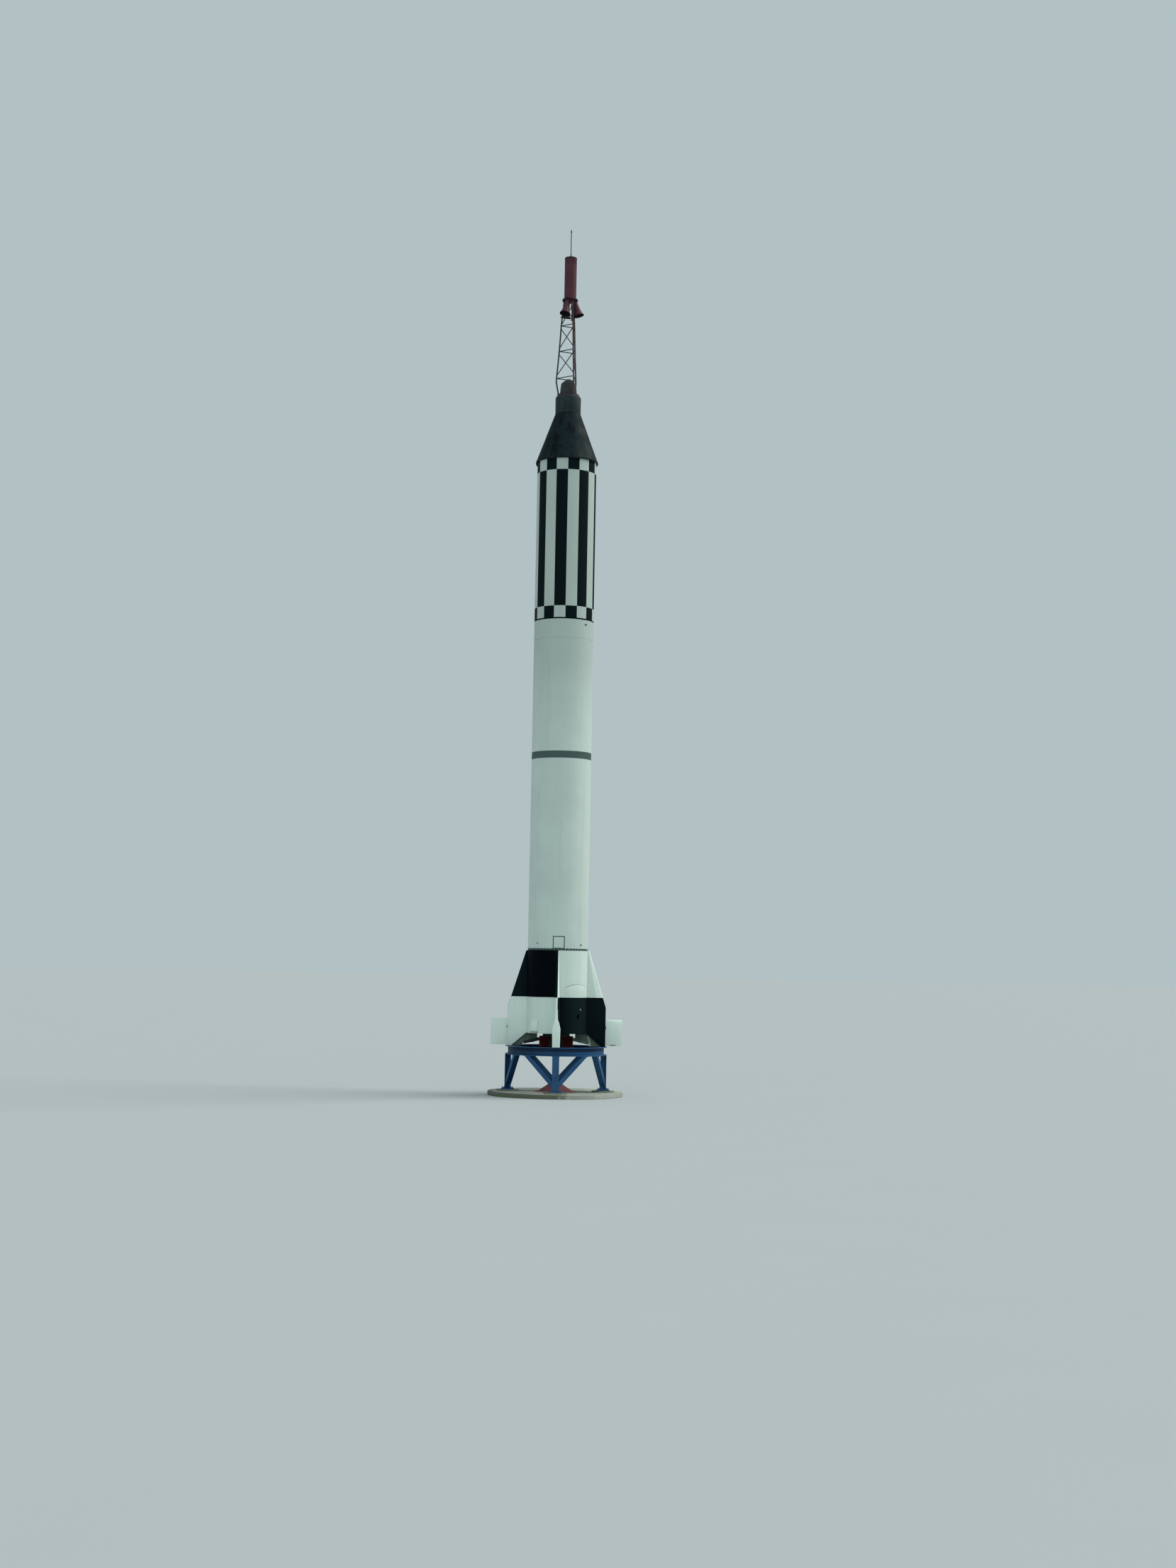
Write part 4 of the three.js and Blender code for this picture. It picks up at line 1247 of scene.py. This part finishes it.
def addNumberFrame(look):  # two uprights and two bars, left blank inside
    azimuth, middle, line = look["azimuth"], above(look["middle"]), look["line"]
    turn = math.degrees((look["width"] - line) / 2 / bodyRadius)
    lift = (look["height"] - line) / 2
    parts = []
    for sign in (-1, 1):
        parts.append(patchMesh(azimuth + sign * turn, middle, line, look["height"]))
        parts.append(patchMesh(azimuth, middle + sign * lift, look["width"], line, thick=0.0025))
    makePiece("numberFrame", joined(*parts), ["bandPaint"])


for name, look in bodyLooks.items():
    addBodySection(name, look)
addTailJoint(jointLook)
addNumberFrame(frameLook)
addMarks(bodyMarks)

# Capsule

print("capsule")

coneLook = {
    "rows": 2, "step": 0.003, "footInset": 0.02, "laps": ((0.0, 0.0), (0.04, 0.0), (0.97, 1.0)),
    "panels": 24, "perPanel": 12, "beadsAt": (3, 6, 9), "groove": 0.004, "bead": 0.0022,
}
neckLook = {
    "crown": 0.335, "straight": 0.50, "panels": 12, "perPanel": 16, "beadsAt": (3, 6, 9), "groove": 0.004,
    "bead": 0.0015,
}
flangeLook = {
    "steps": 192, "lip": 0.940, "clampBolts": 36, "clampDrop": 0.005, "clampSize": 0.009, "clampStart": 5,
    "lugReach": 0.048, "lugDrop": 0.09, "lugThickness": 0.016, "eye": 0.011, "eyeThick": 0.005,
}
fairingLook = {"steps": 96, "shoulder": 21.28, "base": 0.265, "waist": 0.224, "apex": 0.060}
baseRingLook = {"steps": 96, "bolts": 24, "boltInset": 0.022, "boltSize": 0.008}


def addShingles(name, node, profile, finish, look, trimFrom):
    columns = look["panels"] * look["perPanel"]
    bm = spinProfile(profile, columns)
    low, high = profile[0][1], profile[-1][1]  # the first and last points close the piece
    for vert in bm.verts:
        reach = vert.co.xy.length
        if reach < 0.3 or vert.co.z > high - 1e-4 or vert.co.z < low + 1e-4:
            continue
        place = round((azimuthOf(vert.co) % 360) / (360 / columns)) % look["perPanel"]
        rise = look["bead"] if place in look["beadsAt"] else 0.0
        if place == 0:  # the groove between two panels
            rise = -look["groove"]
        vert.co.xy *= 1 + (rise - look["bead"]) / reach
    painted(bm, lambda middle: int(middle.z > trimFrom))
    makePiece(name, bm, [finish, "dustyMaroon"], node, smooth=60)


def addCone(look):
    low, high, bottom = roundBox("capsule_cone")
    top = roundBox("capsule_neck")[2]
    profile = [(0.0, low), (bottom - look["footInset"], low)]
    for row in range(look["rows"]):
        for place, lap in look["laps"]:  # each row laps over the next, so it steps in at its top
            share = (row + place) / look["rows"]
            radius = bottom + (top - bottom) * share - look["step"] * lap
            profile.append((radius, low + (high - low) * share))
    profile += [(top - look["step"], high), (0.0, high)]
    addShingles("capsuleCone", "capsule_cone", profile, "conePaint", look, high)


def addNeck(look):
    low, high, radius = roundBox("capsule_neck")
    shoulder, crown = low + look["straight"], look["crown"]
    addShingles("capsuleNeck", "capsule_neck", [
        (0, low), (radius - 0.003, low), (radius - 0.001, low + 0.004), (radius, shoulder - 0.012),
        (radius - 0.004, shoulder), (crown + 0.006, high - 0.006), (crown - 0.004, high), (0, high),
    ], "neckPaint", look, shoulder)


def guyLug(azimuth, seat, look):  # a plate with an eye, on the body under the flange
    inner, outer = bodyRadius + 0.0005, bodyRadius + 0.0005 + look["lugReach"]
    drop, size = look["lugDrop"], look["eye"]
    lug = plateMesh([
        (inner, seat - drop), (inner + look["lugReach"] * 0.6, seat - drop), (outer, seat - drop * 0.6),
        (outer, seat + 0.004), (inner, seat + 0.004),
    ], look["lugThickness"], 0.002)
    turns = [math.tau / 8 * index for index in range(8)]
    eye = closedSpin([(size + look["eyeThick"] * math.cos(turn), size * math.sin(turn))
                      for turn in turns], 20)
    moved(eye, Matrix.Translation((inner + look["lugReach"] * 0.55, seat - drop * 0.6, 0)))
    return moved(joined(lug, eye), outwardFrame(azimuth))


def addFlange(look):
    high = roundBox("capsule_flange")[1]
    seat = roundBox("capsule_adapter")[1]
    lip, coneFoot = look["lip"], roundBox("capsule_cone")[2]
    parts = [spinProfile([
        (0, seat), (0.900, seat), (0.905, seat - 0.006), (0.918, seat - 0.030), (0.924, seat - 0.032),
        (0.935, seat - 0.029), (lip, seat - 0.020), (lip, seat + 0.010), (lip - 0.003, seat + 0.014),
        (coneFoot + 0.001, high - 0.001), (coneFoot - 0.002, high), (0, high),
    ], look["steps"])]
    parts.append(boltRing(look["clampBolts"], lip - 0.007, seat - look["clampDrop"], look["clampSize"],
                          look["clampStart"], outward=True))
    parts += [guyLug(azimuth, seat, look) for azimuth in towerAzimuths]
    makePiece("capsuleFlange", joined(*parts), ["conePaint"], "capsule_flange")


def addFairing(look):
    low, high, _ = roundBox("antenna_fairing")
    shoulder, base, waist, apex = above(look["shoulder"]), look["base"], look["waist"], look["apex"]
    bm = spinProfile([
        (0, low), (base, low), (base, low + 0.012), (base - 0.006, low + 0.016),
        (waist + 0.017, shoulder - 0.15), (waist + 0.001, shoulder - 0.012), (waist - 0.006, shoulder),
        (apex + 0.02, high - 0.012), (apex, high - 0.003), (apex - 0.01, high), (0, high),
    ], look["steps"])
    makePiece("antennaFairing", bm, ["fairingPaint"], "antenna_fairing")


def addTowerBase(look):
    low, high, radius = roundBox("tower_base_ring")
    ring = spinProfile([
        (0, low), (radius - 0.004, low), (radius, low + 0.006), (radius, high - 0.008),
        (radius - 0.006, high), (0, high),
    ], look["steps"])
    bolts = boltRing(look["bolts"], radius - look["boltInset"], high - 0.003, look["boltSize"])
    makePiece("towerBaseRing", joined(ring, bolts), ["dustyMaroon"], "tower_base_ring")


addFlange(flangeLook)
addCone(coneLook)
addNeck(neckLook)
addFairing(fairingLook)
addTowerBase(baseRingLook)

# Escape tower, its nozzles and its motor

print("escape tower")

towerLook = {  # the levels are height and radius, and the pairs are the legs that a face lies between
    "legRadius": 0.0225, "barRadius": 0.014, "footRadius": 0.300, "footPlate": (0.075, 0.075, 0.012),
    "kinkRadius": 0.374, "kink": 21.33, "braceInset": 0.095, "topInward": 0.045, "legWeld": 1.12,
    "barWeld": 1.35, "socketShare": 0.16, "socketThick": 1.35,
    "levels": ((21.45, 0.370), (22.29, 0.302), (23.08, 0.256), (23.84, 0.180)),
    "braced": ((0, 1), (1, 2)), "faces": ((0, 1), (1, 2), (2, 0)),
}


def legPoint(look, leg, height):
    levels = look["levels"]
    pair = next((pair for pair in zip(levels, levels[1:]) if pair[1][0] >= height - 1e-6), levels[-2:])
    (lowHeight, lowRadius), (highHeight, highRadius) = pair
    share = (height - lowHeight) / (highHeight - lowHeight)
    return polar(towerAzimuths[leg], lowRadius + (highRadius - lowRadius) * share, above(height))


def towerLeg(leg, look):  # tubes from joint to joint, weld beads, a foot plate and its socket
    base = roundBox("tower_base_ring")[1]
    azimuth, thick = towerAzimuths[leg], look["legRadius"]
    joints = [polar(azimuth, look["footRadius"], base + 0.002),
              polar(azimuth, look["kinkRadius"], above(look["kink"]))]
    joints += [legPoint(look, leg, height) for height, _ in look["levels"]]
    parts = [rodMesh(start, end, thick, 18) for start, end in zip(joints, joints[1:])]
    parts += [ballMesh(point, thick * look["legWeld"]) for point in joints[1:-1]]
    plateAt = uprightFrame(azimuth, look["footRadius"] - 0.012, base + 0.006)
    socketTop = joints[0].lerp(joints[1], look["socketShare"])
    return parts + [boxMesh(look["footPlate"], plateAt, 0.002),
                    rodMesh(joints[0], socketTop, thick * look["socketThick"], 18, edge=0.003)]


def towerBraces(lowHeight, highHeight, look):  # crossed braces, which lean inwards in the top bay
    low, high, thick = lowHeight + look["braceInset"], highHeight - look["braceInset"], look["barRadius"]
    isTop = highHeight == look["levels"][-1][0]
    parts = []
    for first, second in look["braced"]:
        middle = (towerAzimuths[first] + towerAzimuths[second]) / 2
        inward = polar(middle, -look["topInward"], 0) if isTop else Vector()
        for start, end in ((first, second), (second, first)):
            ends = [legPoint(look, start, low) + inward, legPoint(look, end, high) + inward]
            parts.append(rodMesh(*ends, thick, 12))
            parts += [ballMesh(point, thick * look["barWeld"]) for point in ends]
            if isTop:
                parts += [rodMesh(point - inward, point, thick, 12) for point in ends]
    return parts


def addTower(look):
    parts = []
    for leg in range(len(towerAzimuths)):
        parts += towerLeg(leg, look)
    for height, _ in look["levels"][:-1]:
        for first, second in look["faces"]:
            bar = legPoint(look, first, height), legPoint(look, second, height)
            parts.append(rodMesh(*bar, look["barRadius"], 12))
    for (lowHeight, _), (highHeight, _) in zip(look["levels"], look["levels"][1:]):
        parts += towerBraces(lowHeight, highHeight, look)
    makePiece("escapeTower", joined(*parts), ["towerPaint"], "escape_tower", smooth=40)


bellLook = {
    "azimuths": (-33, 87, -153), "cant": 15, "startRadius": 0.150, "throat": 0.066, "mouth": 0.163,
    "length": 0.475, "neck": 0.06, "hollowFrom": 0.07, "wall": 0.009, "flare": 2.3, "points": 14,
    "lip": 0.022, "lipStep": 0.009, "darkRim": 0.018, "steps": 64,
}


def bellRadius(height, look):  # height is 0 at the throat and -length at the mouth
    share = min(max(-height / look["length"], 0), 1)
    return look["throat"] + (look["mouth"] - look["throat"]) * share ** look["flare"]


def addEscapeNozzle(number, azimuth, look):
    collarFoot = roundBox("escape_collar")[0]
    throat, mouth, wall, bottom = look["throat"], look["mouth"], look["wall"], -look["length"]
    heights = [bottom * index / look["points"] for index in range(look["points"] + 1)]
    outside = [(bellRadius(height, look), height) for height in heights]
    inside = [(radius - wall, height) for radius, height in outside if height < -look["hollowFrom"]]
    lip = [(mouth - look["lipStep"], bottom + look["lip"] + 0.004), (mouth, bottom + look["lip"]),
           (mouth, bottom + 0.004), (mouth - 0.003, bottom)]
    bm = spinProfile([
        (0, look["neck"]), (throat, look["neck"]), *outside[:-1], *lip, *inside[::-1],
        (throat - wall, -look["hollowFrom"]), (0, -look["hollowFrom"]),
    ], look["steps"])

    def bellPaint(middle):
        isHollow = middle.z < 0.01 - look["hollowFrom"]
        isInside = isHollow and middle.xy.length < bellRadius(middle.z, look) - 0.006
        return int(isInside or middle.z < bottom + look["darkRim"])

    painted(bm, bellPaint)
    lean = Matrix.Rotation(-math.radians(look["cant"]), 4, up.cross(polar(azimuth, 1, 0)))
    moved(bm, Matrix.Translation(polar(azimuth, look["startRadius"], collarFoot)) @ lean)
    makePiece(f"escapeNozzle_{number}", keptBelow(bm, collarFoot), ["maroonPaint", "scorchedPaint"],
              f"escape_nozzle_{number}")


motorLook = {
    "steps": 96, "bolts": 18, "boltInset": 0.020, "boltSize": 0.008, "boltStart": 10, "lugs": 9,
    "lug": (0.016, 0.032, 0.044), "lugStart": 13.7, "bead": 0.003, "skirt": 0.010, "capRim": 0.046,
}


def addCollar(look):
    low, high, radius = roundBox("escape_collar")
    parts = [spinProfile([
        (0, low), (radius - 0.006, low), (radius, low + 0.006), (radius, high - 0.012),
        (radius - 0.010, high - 0.002), (radius - 0.03, high), (0, high),
    ], look["steps"])]
    parts.append(boltRing(look["bolts"], radius - look["boltInset"], high - 0.002, look["boltSize"],
                          look["boltStart"]))
    for index in range(look["lugs"]):
        azimuth = 360 / look["lugs"] * index + look["lugStart"]
        at = uprightFrame(azimuth, radius - 0.004, (low + high) / 2 - 0.002)
        parts.append(painted(boxMesh(look["lug"], at, 0.003), 1))
    makePiece("escapeCollar", joined(*parts), ["collarPaint", "scorchedPaint"],
              "escape_collar")


def addMotor(look):
    low, high, radius = roundBox("escape_motor")
    skirt, bead = radius + look["skirt"], radius + look["bead"]
    makePiece("escapeMotor", spinProfile([
        (0, low), (skirt, low), (skirt, low + 0.012), (radius, low + 0.024), (radius, high - 0.022),
        (bead, high - 0.018), (bead, high - 0.004), (radius - 0.002, high), (0, high),
    ], look["steps"]), ["maroonPaint"], "escape_motor")


def addMotorCap(look):
    low, high, _ = roundBox("escape_motor_cap")
    radius = roundBox("escape_motor")[2]
    bead = radius + look["bead"]
    bm = spinProfile([
        (0, low), (radius - 0.002, low), (radius, low + 0.004), (radius, high - 0.050),
        (bead, high - 0.044), (bead, high - 0.012), (radius - 0.008, high), (radius - 0.020, high - 0.006),
        (0, high - 0.006),
    ], look["steps"])
    painted(bm, lambda middle: int(middle.z > high - look["capRim"]))
    makePiece("escapeMotorCap", bm, ["maroonPaint", "scorchedPaint"], "escape_motor_cap")


spikeLook = {
    "rod": 0.013, "base": 0.021, "foot": 0.042, "footHeight": 0.045, "footSunk": 0.006, "footTop": 0.006,
    "headLength": 0.12, "head": 0.026, "steps": 32, "bolts": 6, "boltInset": 0.010, "boltSize": 0.004,
}


def addSpike(look):
    low, high, _ = roundBox("aerodynamic_spike")
    neck, rod, base, foot = high - look["headLength"], look["rod"], look["base"], look["foot"]
    bottom, footTop = low - look["footSunk"], low + look["footTop"]
    bm = spinProfile([
        (0, bottom), (foot, bottom), (foot, footTop), (base + 0.004, footTop + 0.004),
        (base, low + look["footHeight"]), (rod + 0.003, low + 0.10), (rod, low + 0.14), (rod, neck),
        (look["head"], neck + 0.018), (look["head"] * 0.9, neck + 0.030), (0, high),
    ], look["steps"])
    bolts = boltRing(look["bolts"], foot - look["boltInset"], footTop, look["boltSize"])
    makePiece("aerodynamicSpike", joined(bm, bolts), ["towerPaint"], "aerodynamic_spike")


addTower(towerLook)
for number, azimuth in enumerate(bellLook["azimuths"], 1):
    addEscapeNozzle(number, azimuth, bellLook)
addCollar(motorLook)
addMotor(motorLook)
addMotorCap(motorLook)
addSpike(spikeLook)

# Finish

print("done")
